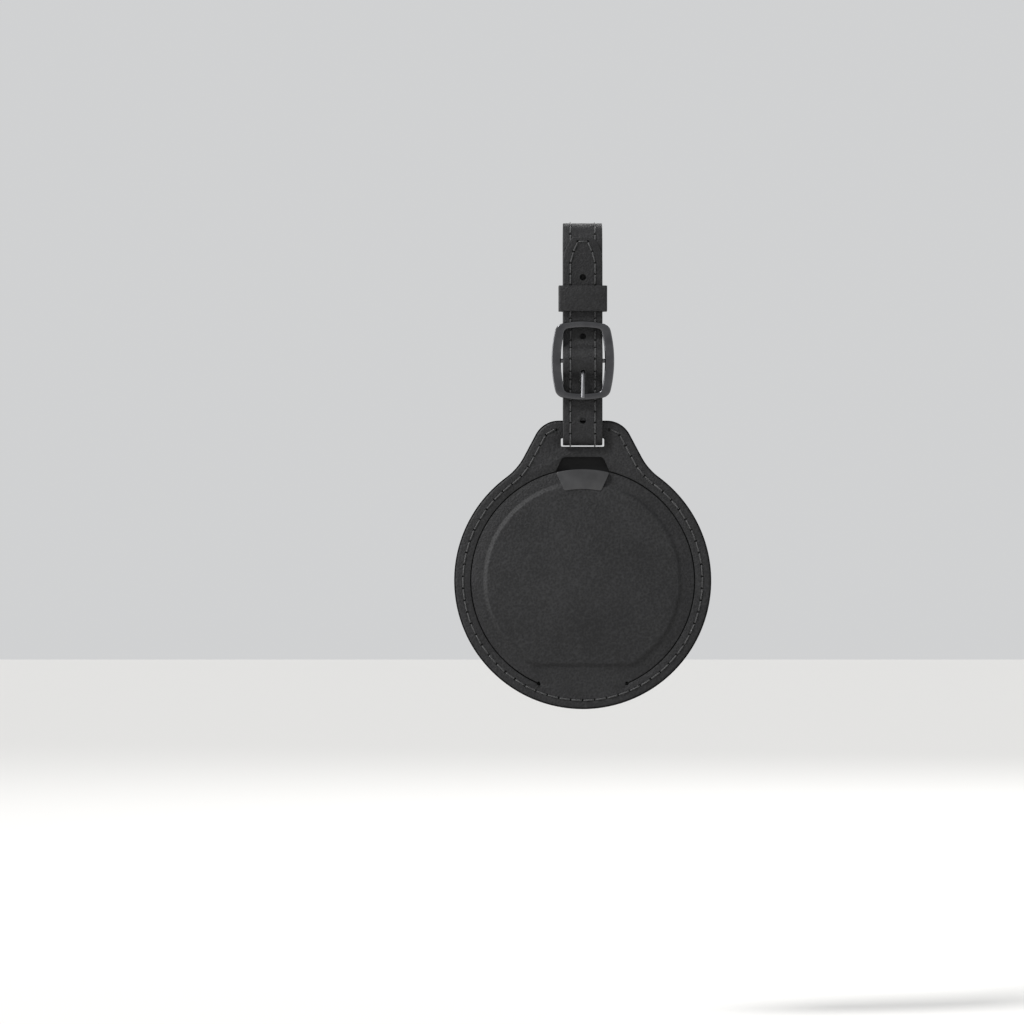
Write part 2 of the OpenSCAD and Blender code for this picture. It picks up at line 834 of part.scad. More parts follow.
// A rectangle whose four sides bow outwards
module bowed(w, h, corner)
    offset(r = corner) offset(delta = -corner)
        intersection() {
            intersection() {
                translate([w / 2 - side_bow_r, 0]) circle(r = side_bow_r, $fn = 180);
                translate([side_bow_r - w / 2, 0]) circle(r = side_bow_r, $fn = 180);
            }
            intersection() {
                translate([0, h / 2 - end_bow_r]) circle(r = end_bow_r, $fn = 180);
                translate([0, end_bow_r - h / 2]) circle(r = end_bow_r, $fn = 180);
            }
        }

module buckle_frame() {
    color([0.3, 0.3, 0.31]) placed() difference() {
        union() {
            slab(frame_front, frame_back) translate([0, bar_z]) difference() {
                bowed(frame_w, frame_h, frame_corner);
                bowed(frame_w - 2 * rail_w, frame_h - 2 * end_rail_w, frame_inner_corner);
            }
            for (side = [-1, 1])
                translate([side * (frame_w / 2 - rail_w / 2 - lug_shift), bar_y, bar_z]) rotate([0, 90, 0])
                    cylinder(r = bar_r + lug_wall, h = rail_w - 2 * lug_in, center = true);
        }
        translate([0, bar_y, bar_z]) rotate([0, 90, 0])
            cylinder(r = bar_r, h = frame_w - 2 * bar_short, center = true);
    }
}

module buckle_bar() {
    color([0.45, 0.45, 0.46]) placed()
        translate([0, bar_y, bar_z]) rotate([0, 90, 0])
            cylinder(r = bar_r, h = frame_w - 2 * bar_short, center = true);
}

module buckle_prong() {
    color([0.55, 0.55, 0.56]) placed() difference() {
        union() {
            translate([0, bar_y, bar_z]) rotate([0, 90, 0])
                cylinder(r = eye_r, h = eye_w, center = true);
            at_prong() cylinder(r = prong_r, h = (bar_z - prong_tip_z) / cos(prong_lean));
        }
        translate([0, bar_y, bar_z]) rotate([0, 90, 0])
            cylinder(r = bar_r + fit, h = eye_w + 1, center = true);
    }
}

keeper_front = tail_y - ply_t - layer_gap - keeper_t;
keeper_back = main_y + ply_t + layer_gap + keeper_t;
keeper_room = 0.15;

module keeper_ring(grow)
    translate([-strap_w / 2 - keeper_room - grow, keeper_front + keeper_t - grow])
        square([strap_w + 2 * keeper_room + 2 * grow, keeper_back - keeper_front - 2 * keeper_t + 2 * grow]);

module keeper_loop() {
    color([0.17, 0.17, 0.18]) placed()
        translate([0, 0, keeper_z]) linear_extrude(keeper_h) difference() {
            offset(r = 0.7) offset(delta = -0.7) keeper_ring(keeper_t + 0.15);
            keeper_ring(0);
        }
}

module keeper_staple() {
    color([0.6, 0.6, 0.62]) placed()
        for (z = [keeper_z + keeper_h * 0.3, keeper_z + keeper_h * 0.7])
            translate([-1.5, keeper_back + 0.15, z]) cube([3, 0.3, 0.4]);
}

front_panel();
rear_panel();
core_frame();
perimeter_thread();
flap_leather();
flap_board();
flap_liner();
pull_tab();
tab_backplate();
id_window();
id_card();
module_front_shell();
module_rear_shell();
module_gasket();
module_screws();
module_adhesive();
circuit_board();
radio_chip();
board_components();
antenna();
battery();
charging_coil();
ferrite_sheet();
alignment_magnets();
closure_magnets();
sounder_plate();
sounder_ceramic();
dome_switch();
pair_button();
button_seal();
light_pipe();
strap_outer();
strap_lining();
strap_thread();
buckle_frame();
buckle_bar();
buckle_prong();
keeper_loop();
keeper_staple();
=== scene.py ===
# A luggage tag with a sealed tracker module: stitched leather round, fold-down flap, buckled strap.
# Everything is in metres. The strap's bend over a handle is the origin, and the tag's face looks along -Y.
import math

import bpy
from mathutils import Matrix, Vector


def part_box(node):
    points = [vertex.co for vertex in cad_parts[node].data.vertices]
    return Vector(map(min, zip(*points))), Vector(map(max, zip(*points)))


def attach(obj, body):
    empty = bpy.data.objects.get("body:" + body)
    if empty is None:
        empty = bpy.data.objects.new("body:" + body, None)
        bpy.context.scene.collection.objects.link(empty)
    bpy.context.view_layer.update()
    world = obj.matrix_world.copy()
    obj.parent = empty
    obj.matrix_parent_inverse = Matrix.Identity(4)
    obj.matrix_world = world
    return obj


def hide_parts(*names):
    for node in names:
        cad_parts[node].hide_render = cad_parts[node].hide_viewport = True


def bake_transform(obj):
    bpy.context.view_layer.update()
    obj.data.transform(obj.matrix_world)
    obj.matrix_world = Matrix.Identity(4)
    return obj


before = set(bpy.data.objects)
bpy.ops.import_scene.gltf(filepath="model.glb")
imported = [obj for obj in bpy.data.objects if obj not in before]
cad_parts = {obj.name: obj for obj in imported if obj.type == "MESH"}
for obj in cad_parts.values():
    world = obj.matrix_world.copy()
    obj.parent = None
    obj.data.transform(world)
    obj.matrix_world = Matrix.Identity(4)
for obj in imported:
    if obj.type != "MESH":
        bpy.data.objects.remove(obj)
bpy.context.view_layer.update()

mm = 0.001


# ---- Camera, floor and light ----
# The tag hangs free in front of a long lens, above and left of its middle as on a product shot.
# Floor and air are pale. A sun at the upper left, a strip lamp, a fill and a softbox behind light it.
def linear(hex_code):
    channels = [int(hex_code[i:i + 2], 16) / 255 for i in (1, 3, 5)]
    return (*[c / 12.92 if c <= 0.04045 else ((c + 0.055) / 1.055) ** 2.4 for c in channels], 1)


def shader_node(tree, kind, inputs=None, links=None, **settings):
    made = tree.nodes.new(kind)
    for key, value in settings.items():
        setattr(made, key, value)
    for key, value in (inputs or {}).items():
        made.inputs[key].default_value = value
    for key, socket in (links or {}).items():
        tree.links.new(socket, made.inputs[key])
    return made


leather_low, leather_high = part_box("front_panel")
disc_r = (leather_high.x - leather_low.x) / 2
disc_z = leather_low.z + disc_r
face_y = leather_low.y

lens = 200
view_width = 286.7 * mm
camera_y = face_y - view_width * lens / 36
bpy.ops.object.camera_add(location=(-19.8 * mm, camera_y, disc_z + 19.2 * mm), rotation=(math.pi / 2, 0, 0))
camera = bpy.context.object
camera.data.lens = lens
bpy.context.scene.camera = camera

floor_drop = 90 * mm
bpy.ops.mesh.primitive_plane_add(size=8, location=(0, 0, leather_low.z - floor_drop))
floor = bpy.context.object
floor.name = "floor"
floor_paint = bpy.data.materials.new("pale floor paint")
floor_paint.use_nodes = True
floor_shader = floor_paint.node_tree.nodes["Principled BSDF"]
floor_shader.inputs["Base Color"].default_value = linear("#cccbc9")
floor_shader.inputs["Roughness"].default_value = 0.7
floor.data.materials.append(floor_paint)

world = bpy.data.worlds.new("studio air")
world.use_nodes = True
world.node_tree.nodes["Background"].inputs["Color"].default_value = linear("#f4f5f6")
world.node_tree.nodes["Background"].inputs["Strength"].default_value = 0.7
bpy.context.scene.world = world
bpy.context.scene.view_settings.view_transform = "Standard"

bpy.ops.object.light_add(type="SUN", rotation=Vector((-0.75, -0.62, 0.95)).to_track_quat("Z", "Y").to_euler())
key = bpy.context.object
key.name = "soft key"
key.data.energy = 2.9
key.data.angle = math.radians(12)
tag_middle = Vector((0, 0, disc_z + 20 * mm))
for name, place, size, watts in (("left strip", (-1.3, -0.12, 0.05), 0.7, 14.0),
                                 ("right fill", (1.3, -0.8, 0.1), 0.8, 2.0),
                                 ("back softbox", (0.35, 1.2, 0.7), 0.7, 8.0)):
    bpy.ops.object.light_add(type="AREA", location=place)
    lamp = bpy.context.object
    lamp.name = name
    lamp.data.size = size
    lamp.data.energy = watts
    lamp.rotation_euler = (tag_middle - Vector(place)).to_track_quat("-Z", "Y").to_euler()


# ---- Face leather ----
# One millimetre of split cowhide, coated, embossed with a fine pebble grain and dyed charcoal.
# It is die-cut to a pear, its rim is skived and turned down over the core, and the flap is slit out of it.
def deselect():
    bpy.ops.object.select_all(action="DESELECT")


def only(piece):
    deselect()
    piece.select_set(True)
    bpy.context.view_layer.objects.active = piece


def edit(piece, select="SELECT"):
    only(piece)
    bpy.ops.object.mode_set(mode="EDIT")
    bpy.ops.mesh.select_mode(type="VERT")
    bpy.ops.mesh.select_all(action=select)


def done():
    bpy.ops.object.mode_set(mode="OBJECT")


def draw(name, start, moves, to_space, axis):
    """Draws an open line: each move goes straight to a point or turns about a centre by degrees."""
    deselect()
    bpy.ops.mesh.primitive_plane_add(size=mm)
    line = bpy.context.object
    line.name = name
    bpy.ops.object.mode_set(mode="EDIT")
    bpy.ops.mesh.select_mode(type="VERT")
    bpy.ops.mesh.select_all(action="SELECT")
    bpy.ops.mesh.merge(type="CENTER")
    at = Vector(start)
    bpy.ops.transform.translate(value=to_space(*at))
    for move in moves:
        if len(move) == 2:
            step = to_space(*move) - to_space(*at)
            bpy.ops.mesh.extrude_region_move(TRANSFORM_OT_translate={"value": step})
            at = Vector(move)
        else:
            centre, degrees, steps = Vector(move[0]), move[1], move[2]
            bpy.ops.mesh.spin(steps=steps, angle=math.radians(degrees), center=to_space(*centre), axis=axis)
            turn = math.radians(degrees)
            arm = at - centre
            at = centre + Vector((arm.x * math.cos(turn) - arm.y * math.sin(turn),
                                  arm.x * math.sin(turn) + arm.y * math.cos(turn)))
    done()
    return line


def mirror(piece, axis="X"):
    only(piece)
    flip = piece.modifiers.new("mirror", "MIRROR")
    flip.use_axis = [axis == "X", axis == "Y", axis == "Z"]
    flip.merge_threshold = 0.002 * mm
    bpy.ops.object.modifier_apply(modifier="mirror")


def slab(piece, thickness):
    """Fills a closed outline and gives it a thickness, which is a vector."""
    edit(piece)
    bpy.ops.mesh.remove_doubles(threshold=0.001 * mm)
    bpy.ops.mesh.edge_face_add()
    bpy.ops.mesh.extrude_region_move(TRANSFORM_OT_translate={"value": thickness})
    bpy.ops.mesh.select_all(action="SELECT")
    bpy.ops.mesh.normals_make_consistent(inside=False)
    done()


def bevel_where(piece, test, width, segments, sharp=50):
    """Rounds the sharp edges whose two ends pass the test."""
    edit(piece, "DESELECT")
    bpy.ops.mesh.select_mode(type="EDGE")
    bpy.ops.mesh.edges_select_sharp(sharpness=math.radians(sharp))
    done()
    points = piece.data.vertices
    for edge in piece.data.edges:
        edge.select = edge.select and all(test(points[i].co) for i in edge.vertices)
    only(piece)
    bpy.ops.object.mode_set(mode="EDIT")
    bpy.ops.mesh.bevel(offset=width, segments=segments, profile=0.5, affect="EDGES", clamp_overlap=False)
    bpy.ops.mesh.select_mode(type="VERT")
    done()


def boolean(piece, tool, operation="DIFFERENCE"):
    only(piece)
    cut = piece.modifiers.new("boolean", "BOOLEAN")
    cut.operation = operation
    cut.solver = "MANIFOLD"
    cut.object = tool
    bpy.ops.object.modifier_apply(modifier="boolean")
    bpy.data.objects.remove(tool, do_unlink=True)


def join(pieces, name):
    deselect()
    for piece in pieces:
        piece.select_set(True)
    bpy.context.view_layer.objects.active = pieces[0]
    bpy.ops.object.join()
    pieces[0].name = name
    return pieces[0]


def finish_piece(piece, material, smooth=35):
    only(piece)
    bpy.ops.object.shade_smooth_by_angle(angle=math.radians(smooth))
    piece.data.materials.clear()
    piece.data.materials.append(material)


def upright(x, z):
    return Vector((x, face_y, z + disc_z))


def leather_material(name, shade, grain=0.55 * mm):
    """Coated, pebble-embossed cowhide: a low satin sheen that breaks up over rounded grains, each with its
    own slight shade. Real grains are about 0.3 mm, drawn about twice as coarse so that they show."""
    material = bpy.data.materials.new(name)
    material.use_nodes = True
    tree = material.node_tree
    shader = tree.nodes["Principled BSDF"]
    place = shader_node(tree, "ShaderNodeTexCoord").outputs["Object"]
    wander = shader_node(tree, "ShaderNodeTexNoise", {"Scale": 0.5 / grain, "Detail": 2.0}, {"Vector": place})
    warped = shader_node(tree, "ShaderNodeMix", {"Factor": 0.0006},
                         {"A": place, "B": wander.outputs["Color"]},
                         data_type="VECTOR")
    vector = warped.outputs["Result"]
    pebbles = shader_node(tree, "ShaderNodeTexVoronoi", {"Scale": 1 / grain}, {"Vector": vector},
                          feature="SMOOTH_F1")
    pores = shader_node(tree, "ShaderNodeTexNoise", {"Scale": 3.2 / grain, "Detail": 3.0}, {"Vector": place})
    patches = shader_node(tree, "ShaderNodeTexNoise", {"Scale": 90.0, "Detail": 3.0}, {"Vector": place})
    height = shader_node(tree, "ShaderNodeMix", {"Factor": 0.3},
                         {"A": pebbles.outputs["Distance"], "B": pores.outputs["Fac"]})
    bump = shader_node(tree, "ShaderNodeBump", {"Strength": 1.0, "Distance": 0.16 * mm},
                       {"Height": height.outputs["Result"]}, invert=True)
    tone = shader_node(tree, "ShaderNodeMix", {"Factor": 0.6},
                       {"A": patches.outputs["Fac"], "B": pebbles.outputs["Distance"]})
    ramp = shader_node(tree, "ShaderNodeValToRGB", links={"Fac": tone.outputs["Result"]})
    ramp.color_ramp.elements[0].position = 0.3
    ramp.color_ramp.elements[0].color = linear(shade[0])
    ramp.color_ramp.elements[1].position = 0.7
    ramp.color_ramp.elements[1].color = linear(shade[1])
    gloss = shader_node(tree, "ShaderNodeMapRange", {"To Min": 0.5, "To Max": 0.68},
                        {"Value": pores.outputs["Fac"]})
    tree.links.new(ramp.outputs["Color"], shader.inputs["Base Color"])
    tree.links.new(gloss.outputs["Result"], shader.inputs["Roughness"])
    tree.links.new(bump.outputs["Normal"], shader.inputs["Normal"])
    shader.inputs["Specular IOR Level"].default_value = 0.28
    return material


tag_leather = leather_material("pebbled charcoal cowhide", ("#131314", "#272728"))

leather_t = 1.0 * mm
head_h = leather_high.z - disc_z
corner_r = 7.3 * mm
corner_x = 6.7 * mm
flank_a = 28
neck_r = 16.8 * mm


def pear_moves(inset):
    """Right half of the pear from its top to its foot, taken in by inset."""
    corner = Vector((corner_x, head_h - corner_r))
    out = Vector((math.cos(math.radians(flank_a)), math.sin(math.radians(flank_a))))
    down = Vector((out.y, -out.x))
    base = corner + (corner_r + neck_r) * out
    along = base.dot(down)
    neck = base - down * (along + math.sqrt(along ** 2 - base.dot(base) + (disc_r + neck_r) ** 2))
    neck_a = math.degrees(math.atan2(neck.y, neck.x))
    flank_end = neck - (neck_r + inset) * out
    moves = [(corner.x, head_h - inset), (corner, flank_a - 90, 12), tuple(flank_end),
             (neck, neck_a - flank_a, 12), ((0, 0), -90 - neck_a, 60)]
    return (0, head_h - inset), moves


def pear(name, inset=0.0):
    start, moves = pear_moves(inset)
    outline = draw(name, start, moves, upright, (0, 1, 0))
    mirror(outline)
    return outline


rim_round = 0.95 * mm
face_leather = pear("face_leather")
slab(face_leather, (0, leather_t, 0))
bevel_where(face_leather, lambda p: p.y < face_y + 0.01 * mm, rim_round, 6)
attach(face_leather, "tag")
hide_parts("front_panel")

# The opening for the flap, with the finger notch above it and a bridge of uncut leather at its foot.
flap_r = 31.2 * mm
slit = 0.3 * mm
hinge_z = -28.725 * mm
hinge_band = 1.4 * mm
bridge_x = 11.88 * mm
opening_r = flap_r + slit
notch_top = 34.6 * mm
notch_x = 5.7 * mm
notch_round = 1.5 * mm
notch_foot = Vector((7.5 * mm, notch_top - 4 * mm))
cut_depth = Vector((0, 3 * leather_t, 0))


def before_face(x, z):
    return upright(x, z) - Vector((0, leather_t, 0))


opening_a = math.degrees(math.asin((hinge_z - 0.1 * mm) / opening_r))
opening_foot = (opening_r * math.cos(math.radians(opening_a)), opening_r * math.sin(math.radians(opening_a)))
opening = draw("opening", (0, hinge_z - hinge_band),
               [(bridge_x, hinge_z - hinge_band), (bridge_x, opening_foot[1]), opening_foot,
                ((0, 0), 90 - opening_a, 96)], before_face, (0, 1, 0))
mirror(opening)
slab(opening, cut_depth)
boolean(face_leather, opening)

notch_lean = math.degrees(math.atan2(notch_foot.x - notch_x, notch_top - notch_foot.y))
notch_turn = 90 - notch_lean
notch_tangent = notch_round * math.tan(math.radians(notch_turn / 2))
notch = draw("notch", (0, notch_top),
             [(notch_x - notch_tangent, notch_top),
              ((notch_x - notch_tangent, notch_top - notch_round), -notch_turn, 6),
              tuple(notch_foot), (notch_foot.x, flap_r - 5 * mm), (0, flap_r - 5 * mm)],
             before_face, (0, 1, 0))
mirror(notch)
slab(notch, cut_depth)
boolean(face_leather, notch)

# The slot for the strap.
slot_half = 6.1 * mm
slot_low = 37.5 * mm
slot_high = slot_low + 2.4 * mm
slot_round = 0.4 * mm


def slot_tool(to_space, depth):
    half = draw("slot", (0, slot_low),
                [(slot_half - slot_round, slot_low), ((slot_half - slot_round, slot_low + slot_round), 90, 4),
                 (slot_half, slot_high - slot_round),
                 ((slot_half - slot_round, slot_high - slot_round), 90, 4), (0, slot_high)],
                to_space, (0, 1, 0))
    mirror(half)
    slab(half, depth)
    return half


boolean(face_leather, slot_tool(before_face, cut_depth))

# Round stops at the ends of the slit.
stop_r = 0.5 * mm
stop_x = 12.38 * mm
stop_z = -28.8 * mm


def stop_tools(to_space):
    made = []
    for side in (-1, 1):
        deselect()
        bpy.ops.mesh.primitive_cylinder_add(vertices=24, radius=stop_r, depth=4 * leather_t,
                                            location=to_space(side * stop_x, stop_z),
                                            rotation=(math.pi / 2, 0, 0))
        bpy.ops.object.transform_apply(location=True, rotation=True, scale=True)
        made.append(bpy.context.object)
    return join(made, "stops")


boolean(face_leather, stop_tools(upright))


def off_bridge(p):
    at_bridge = p.z - disc_z < stop_z + 0.02 * mm and abs(p.x) < bridge_x + 0.02 * mm
    return p.y < face_y + 0.01 * mm and not at_bridge


bevel_where(face_leather, off_bridge, 0.12 * mm, 2)
finish_piece(face_leather, tag_leather)


# ---- Flap leather ----
# The same hide, embossed over a board so that a D stands up out of it behind a soft slope.
# It stays joined to the face leather by a bridge at its foot, the flap's hinge on the tag; here that band is
# only cut across.
def into(node, material):
    """Gives a carried-over node its finish."""
    for slot in bpy.data.objects[node].material_slots:
        slot.material = material


def heap(height, run, steps):
    """Steps of an S-curved slope, each how far in and how far up."""
    level = [height * (1 - math.cos(math.pi * i / steps)) / 2 for i in range(steps + 1)]
    return [(run / steps, level[i + 1] - level[i]) for i in range(steps)]


rise_h = 0.8 * mm
rise_r = 28.1 * mm
rise_run = 1.5 * mm
rise_foot = -24.4 * mm
rise_corner = 4 * mm

bridge_turn = math.degrees(math.acos(bridge_x / flap_r))
flap_leather = draw("flap_hide", (0, flap_r), [((0, 0), -90 - bridge_turn, 90),
                                                  (bridge_x, hinge_z - hinge_band),
                                                  (0, hinge_z - hinge_band)],
                    upright, (0, 1, 0))
mirror(flap_leather)

corner_up = rise_foot + rise_corner
corner_out = math.sqrt((rise_r - rise_corner) ** 2 - corner_up ** 2)
corner_turn = math.degrees(math.atan2(-corner_up, corner_out))
raised = draw("raised", (0, rise_r), [((0, 0), -90 - corner_turn, 84),
                                      ((corner_out, corner_up), corner_turn - 90, 10), (0, rise_foot)],
              upright, (0, 1, 0))
mirror(raised)
join([flap_leather, raised], "flap_hide")


def pick(piece, kind, chosen):
    """Opens a piece for editing with only the chosen edges or faces selected."""
    edit(piece, "DESELECT")
    bpy.ops.mesh.select_mode(type=kind)
    done()
    for part in piece.data.edges if kind == "EDGE" else piece.data.polygons:
        part.select = chosen(part)
    bpy.ops.object.mode_set(mode="EDIT")


def emboss(piece, in_loop, facing, height):
    """Fills a leather between its outlines and raises the inner one's shape, then gives it its thickness."""
    edit(piece)
    bpy.ops.mesh.remove_doubles(threshold=0.001 * mm)
    bpy.ops.mesh.fill(use_beauty=True)
    done()
    edit(piece, "DESELECT")
    bpy.ops.mesh.select_mode(type="EDGE")
    bpy.ops.mesh.select_non_manifold(extend=False)
    done()
    points = piece.data.vertices
    for edge in piece.data.edges:
        inner = all(in_loop(points[i].co.x, points[i].co.z - disc_z) for i in edge.vertices)
        edge.select = edge.select and inner
    bpy.ops.object.mode_set(mode="EDIT")
    bpy.ops.mesh.edge_face_add()
    bpy.ops.mesh.select_all(action="SELECT")
    bpy.ops.mesh.normals_make_consistent(inside=False)
    done()
    if facing * sum(face.normal.y * face.area for face in piece.data.polygons) < 0:
        edit(piece)
        bpy.ops.mesh.flip_normals()
        done()
    most = max(len(face.vertices) for face in piece.data.polygons)
    pick(piece, "FACE", lambda face: len(face.vertices) == most)
    for run, rise in heap(height, rise_run, 8):
        bpy.ops.mesh.inset(thickness=run, depth=rise)
    bpy.ops.mesh.select_all(action="SELECT")
    bpy.ops.mesh.extrude_region_move(TRANSFORM_OT_translate={"value": (0, -facing * leather_t, 0)})
    bpy.ops.mesh.select_all(action="SELECT")
    bpy.ops.mesh.normals_make_consistent(inside=False)
    done()


emboss(flap_leather, lambda x, z: math.hypot(x, z) < rise_r + 0.01 * mm and z > rise_foot - 0.01 * mm,
       -1, rise_h)

# A hole the shape of the pull tab goes through it.
tab_in = flap_r - 5.6 * mm
tab_outer = Vector((7.5 * mm, math.sqrt(flap_r ** 2 - (7.5 * mm) ** 2)))
tab_bend = Vector((7.3 * mm, flap_r - 1.4 * mm))
tab_inner = Vector((5.14 * mm, math.sqrt(tab_in ** 2 - (5.14 * mm) ** 2)))
tab_round = 0.5 * mm


def tab_blank(name, to_space, depth, rounding):
    outer_turn = math.degrees(math.atan2(tab_outer.x, tab_outer.y))
    inner_turn = math.degrees(math.atan2(tab_inner.x, tab_inner.y))
    made = draw(name, (0, flap_r), [((0, 0), -outer_turn, 8), tuple(tab_bend), tuple(tab_inner),
                                    ((0, 0), inner_turn, 8)], to_space, (0, 1, 0))
    mirror(made)
    slab(made, depth)
    points = made.data.vertices

    def at_corner(edge):
        a, b = (points[i].co for i in edge.vertices)
        place = Vector((abs(a.x), a.z - disc_z))
        at_corner = any((place - c).length < 0.02 * mm for c in (tab_outer, tab_inner))
        return abs(a.y - b.y) > 0.5 * mm and at_corner

    pick(made, "EDGE", at_corner)
    bpy.ops.mesh.bevel(offset=rounding, segments=5, profile=0.5, affect="EDGES", clamp_overlap=False)
    done()
    return made


boolean(flap_leather, tab_blank("tab_hole", before_face, (0, 4 * leather_t, 0), tab_round))
boolean(flap_leather, stop_tools(upright))


def off_hinge(p):
    return (p.y < face_y + 0.01 * mm and p.z - disc_z > stop_z + 0.2 * mm
            and Vector((p.x, p.z - disc_z)).length > flap_r - 0.02 * mm)


bevel_where(flap_leather, off_hinge, 0.12 * mm, 2)
edit(flap_leather)
fold_cuts = 8
for i in range(fold_cuts):
    bpy.ops.mesh.select_all(action="SELECT")
    bpy.ops.mesh.bisect(plane_co=(0, 0, disc_z + hinge_z + hinge_band * (2 * (i + 0.5) / fold_cuts - 1)),
                        plane_no=(0, 0, 1))
done()
finish_piece(flap_leather, tag_leather)
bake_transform(flap_leather)
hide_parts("flap_leather")

# ---- Pull tab and the plate behind it ----
# A die-cast zinc tab, plated black nickel and tumbled to a soft satin, lies in the flap's rim.
# A steel plate on the inner side, which the flap's magnets hold, clamps it through the leather.
def satin_metal(name, shade, rough, grain=0.12 * mm):
    """Plated and tumbled metal: an even satin whose gloss varies a little over fine ripples."""
    material = bpy.data.materials.new(name)
    material.use_nodes = True
    tree = material.node_tree
    shader = tree.nodes["Principled BSDF"]
    shader.inputs["Metallic"].default_value = 1.0
    place = shader_node(tree, "ShaderNodeTexCoord").outputs["Object"]
    ripple = shader_node(tree, "ShaderNodeTexNoise", {"Scale": 1 / grain, "Detail": 2.0}, {"Vector": place})
    cloud = shader_node(tree, "ShaderNodeTexNoise", {"Scale": 260.0, "Detail": 2.0}, {"Vector": place})
    gloss = shader_node(tree, "ShaderNodeMapRange", {"To Min": rough - 0.06, "To Max": rough + 0.06},
                        {"Value": cloud.outputs["Fac"]})
    tint = shader_node(tree, "ShaderNodeValToRGB", links={"Fac": cloud.outputs["Fac"]})
    tint.color_ramp.elements[0].position = 0.35
    tint.color_ramp.elements[0].color = linear(shade[0])
    tint.color_ramp.elements[1].position = 0.65
    tint.color_ramp.elements[1].color = linear(shade[1])
    bump = shader_node(tree, "ShaderNodeBump", {"Strength": 0.12, "Distance": 0.01 * mm},
                       {"Height": ripple.outputs["Fac"]})
    tree.links.new(gloss.outputs["Result"], shader.inputs["Roughness"])
    tree.links.new(tint.outputs["Color"], shader.inputs["Base Color"])
    tree.links.new(bump.outputs["Normal"], shader.inputs["Normal"])
    return material


tab_low, tab_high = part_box("pull_tab")
tab_metal = satin_metal("satin black nickel", ("#4b4b4c", "#535354"), 0.42)


def at_tab_face(x, z):
    return Vector((x, tab_low.y, z + disc_z))


pull_tab = tab_blank("pull_tab_plate", at_tab_face, (0, tab_high.y - tab_low.y, 0), tab_round)
bevel_where(pull_tab, lambda p: p.y < tab_low.y + 0.01 * mm, 0.18 * mm, 3)
finish_piece(pull_tab, tab_metal)
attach(pull_tab, "flap")
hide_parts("pull_tab")
into("tab_backplate", satin_metal("zinc-plated spring steel", ("#8d8f92", "#9b9da0"), 0.36))


# ---- Back leather ----
# The same hide behind, with the same skived rim, and a round pad pressed up for the charger.
back_low, back_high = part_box("rear_panel")
mid_y = (leather_high.y + back_low.y) / 2
back_y = back_low.y + leather_t
pad_rise = back_high.y - back_y
pad_r = 27 * mm


def on_back(x, z):
    return Vector((x, back_y, z + disc_z))


def on_back_lining(x, z):
    return Vector((x, back_low.y - leather_t, z + disc_z))


start, moves = pear_moves(0.0)
back_leather = draw("back_leather", start, moves, on_back, (0, 1, 0))
mirror(back_leather)
deselect()
bpy.ops.mesh.primitive_circle_add(vertices=128, radius=pad_r, location=on_back(0, 0),
                                  rotation=(math.pi / 2, 0, 0))
pad = bpy.context.object
bpy.ops.object.transform_apply(location=True, rotation=True, scale=True)
join([back_leather, pad], "back_leather")
emboss(back_leather, lambda x, z: math.hypot(x, z) < pad_r + 0.01 * mm, 1, pad_rise)
bevel_where(back_leather, lambda p: p.y > back_y - 0.01 * mm, rim_round, 6)
boolean(back_leather, slot_tool(on_back_lining, cut_depth))
bevel_where(back_leather, lambda p: p.y > back_y - 0.01 * mm and p.z - disc_z > slot_low - 0.01 * mm,
            0.12 * mm, 2)


# ---- Tag stitching ----
# Bonded polyester thread, two plies with a right-hand twist, saddle-stitched through both leathers.
# Each stitch rises out of one needle hole, lies along the leather and dives into the next.
def trace(start, moves):
    """The points of an outline that draw would make."""
    found = [Vector(start)]
    for move in moves:
        if len(move) == 2:
            found.append(Vector(move))
            continue
        centre, arm = Vector(move[0]), found[-1] - Vector(move[0])
        for i in range(move[2]):
            turn = math.radians(move[1] * (i + 1) / move[2])
            found.append(centre + Vector((arm.x * math.cos(turn) - arm.y * math.sin(turn),
                                          arm.x * math.sin(turn) + arm.y * math.cos(turn))))
    return found


def walk(points, distance):
    """The point at a distance along a line of points, and the line's direction there."""
    for a, b in zip(points, points[1:]):
        step = (b - a).length
        if distance <= step or b is points[-1]:
            return a.lerp(b, distance / step), (b - a).normalized()
        distance -= step


def length_of(points):
    return sum((b - a).length for a, b in zip(points, points[1:]))


thread_r = 0.17 * mm
thread_arch = 0.2 * mm
thread_dip = 0.35 * mm
needle_r = 0.4 * mm
stitch_pitch = 3.36 * mm
stitch_in = 2.5 * mm


def one_stitch(span):
    """A stitch along X that dives below zero height at both ends."""
    deselect()
    bpy.ops.mesh.primitive_circle_add(vertices=8, radius=thread_r, fill_type="NGON",
                                      location=(-span / 2, 0, -thread_dip), rotation=(0, math.pi / 2, 0))
    made = bpy.context.object
    bpy.ops.object.transform_apply(location=True, rotation=True, scale=True)
    arch = [(-0.44, 0.25), (-0.34, 0.7), (-0.18, 0.96), (0.18, 0.96), (0.34, 0.7), (0.44, 0.25)]
    route = [Vector((span * u, 0, thread_arch * h)) for u, h in arch] + [Vector((span / 2, 0, -thread_dip))]
    at = Vector((-span / 2, 0, -thread_dip))
    bpy.ops.object.mode_set(mode="EDIT")
    for place in route:
        bpy.ops.mesh.extrude_region_move(TRANSFORM_OT_translate={"value": place - at})
        at = place
    bpy.ops.mesh.select_all(action="SELECT")
    bpy.ops.mesh.normals_make_consistent(inside=False)
    done()
    return made


def copy_to(piece, place):
    made = piece.copy()
    made.data = piece.data.copy()
    made.matrix_world = place
    bpy.context.collection.objects.link(made)
    return made


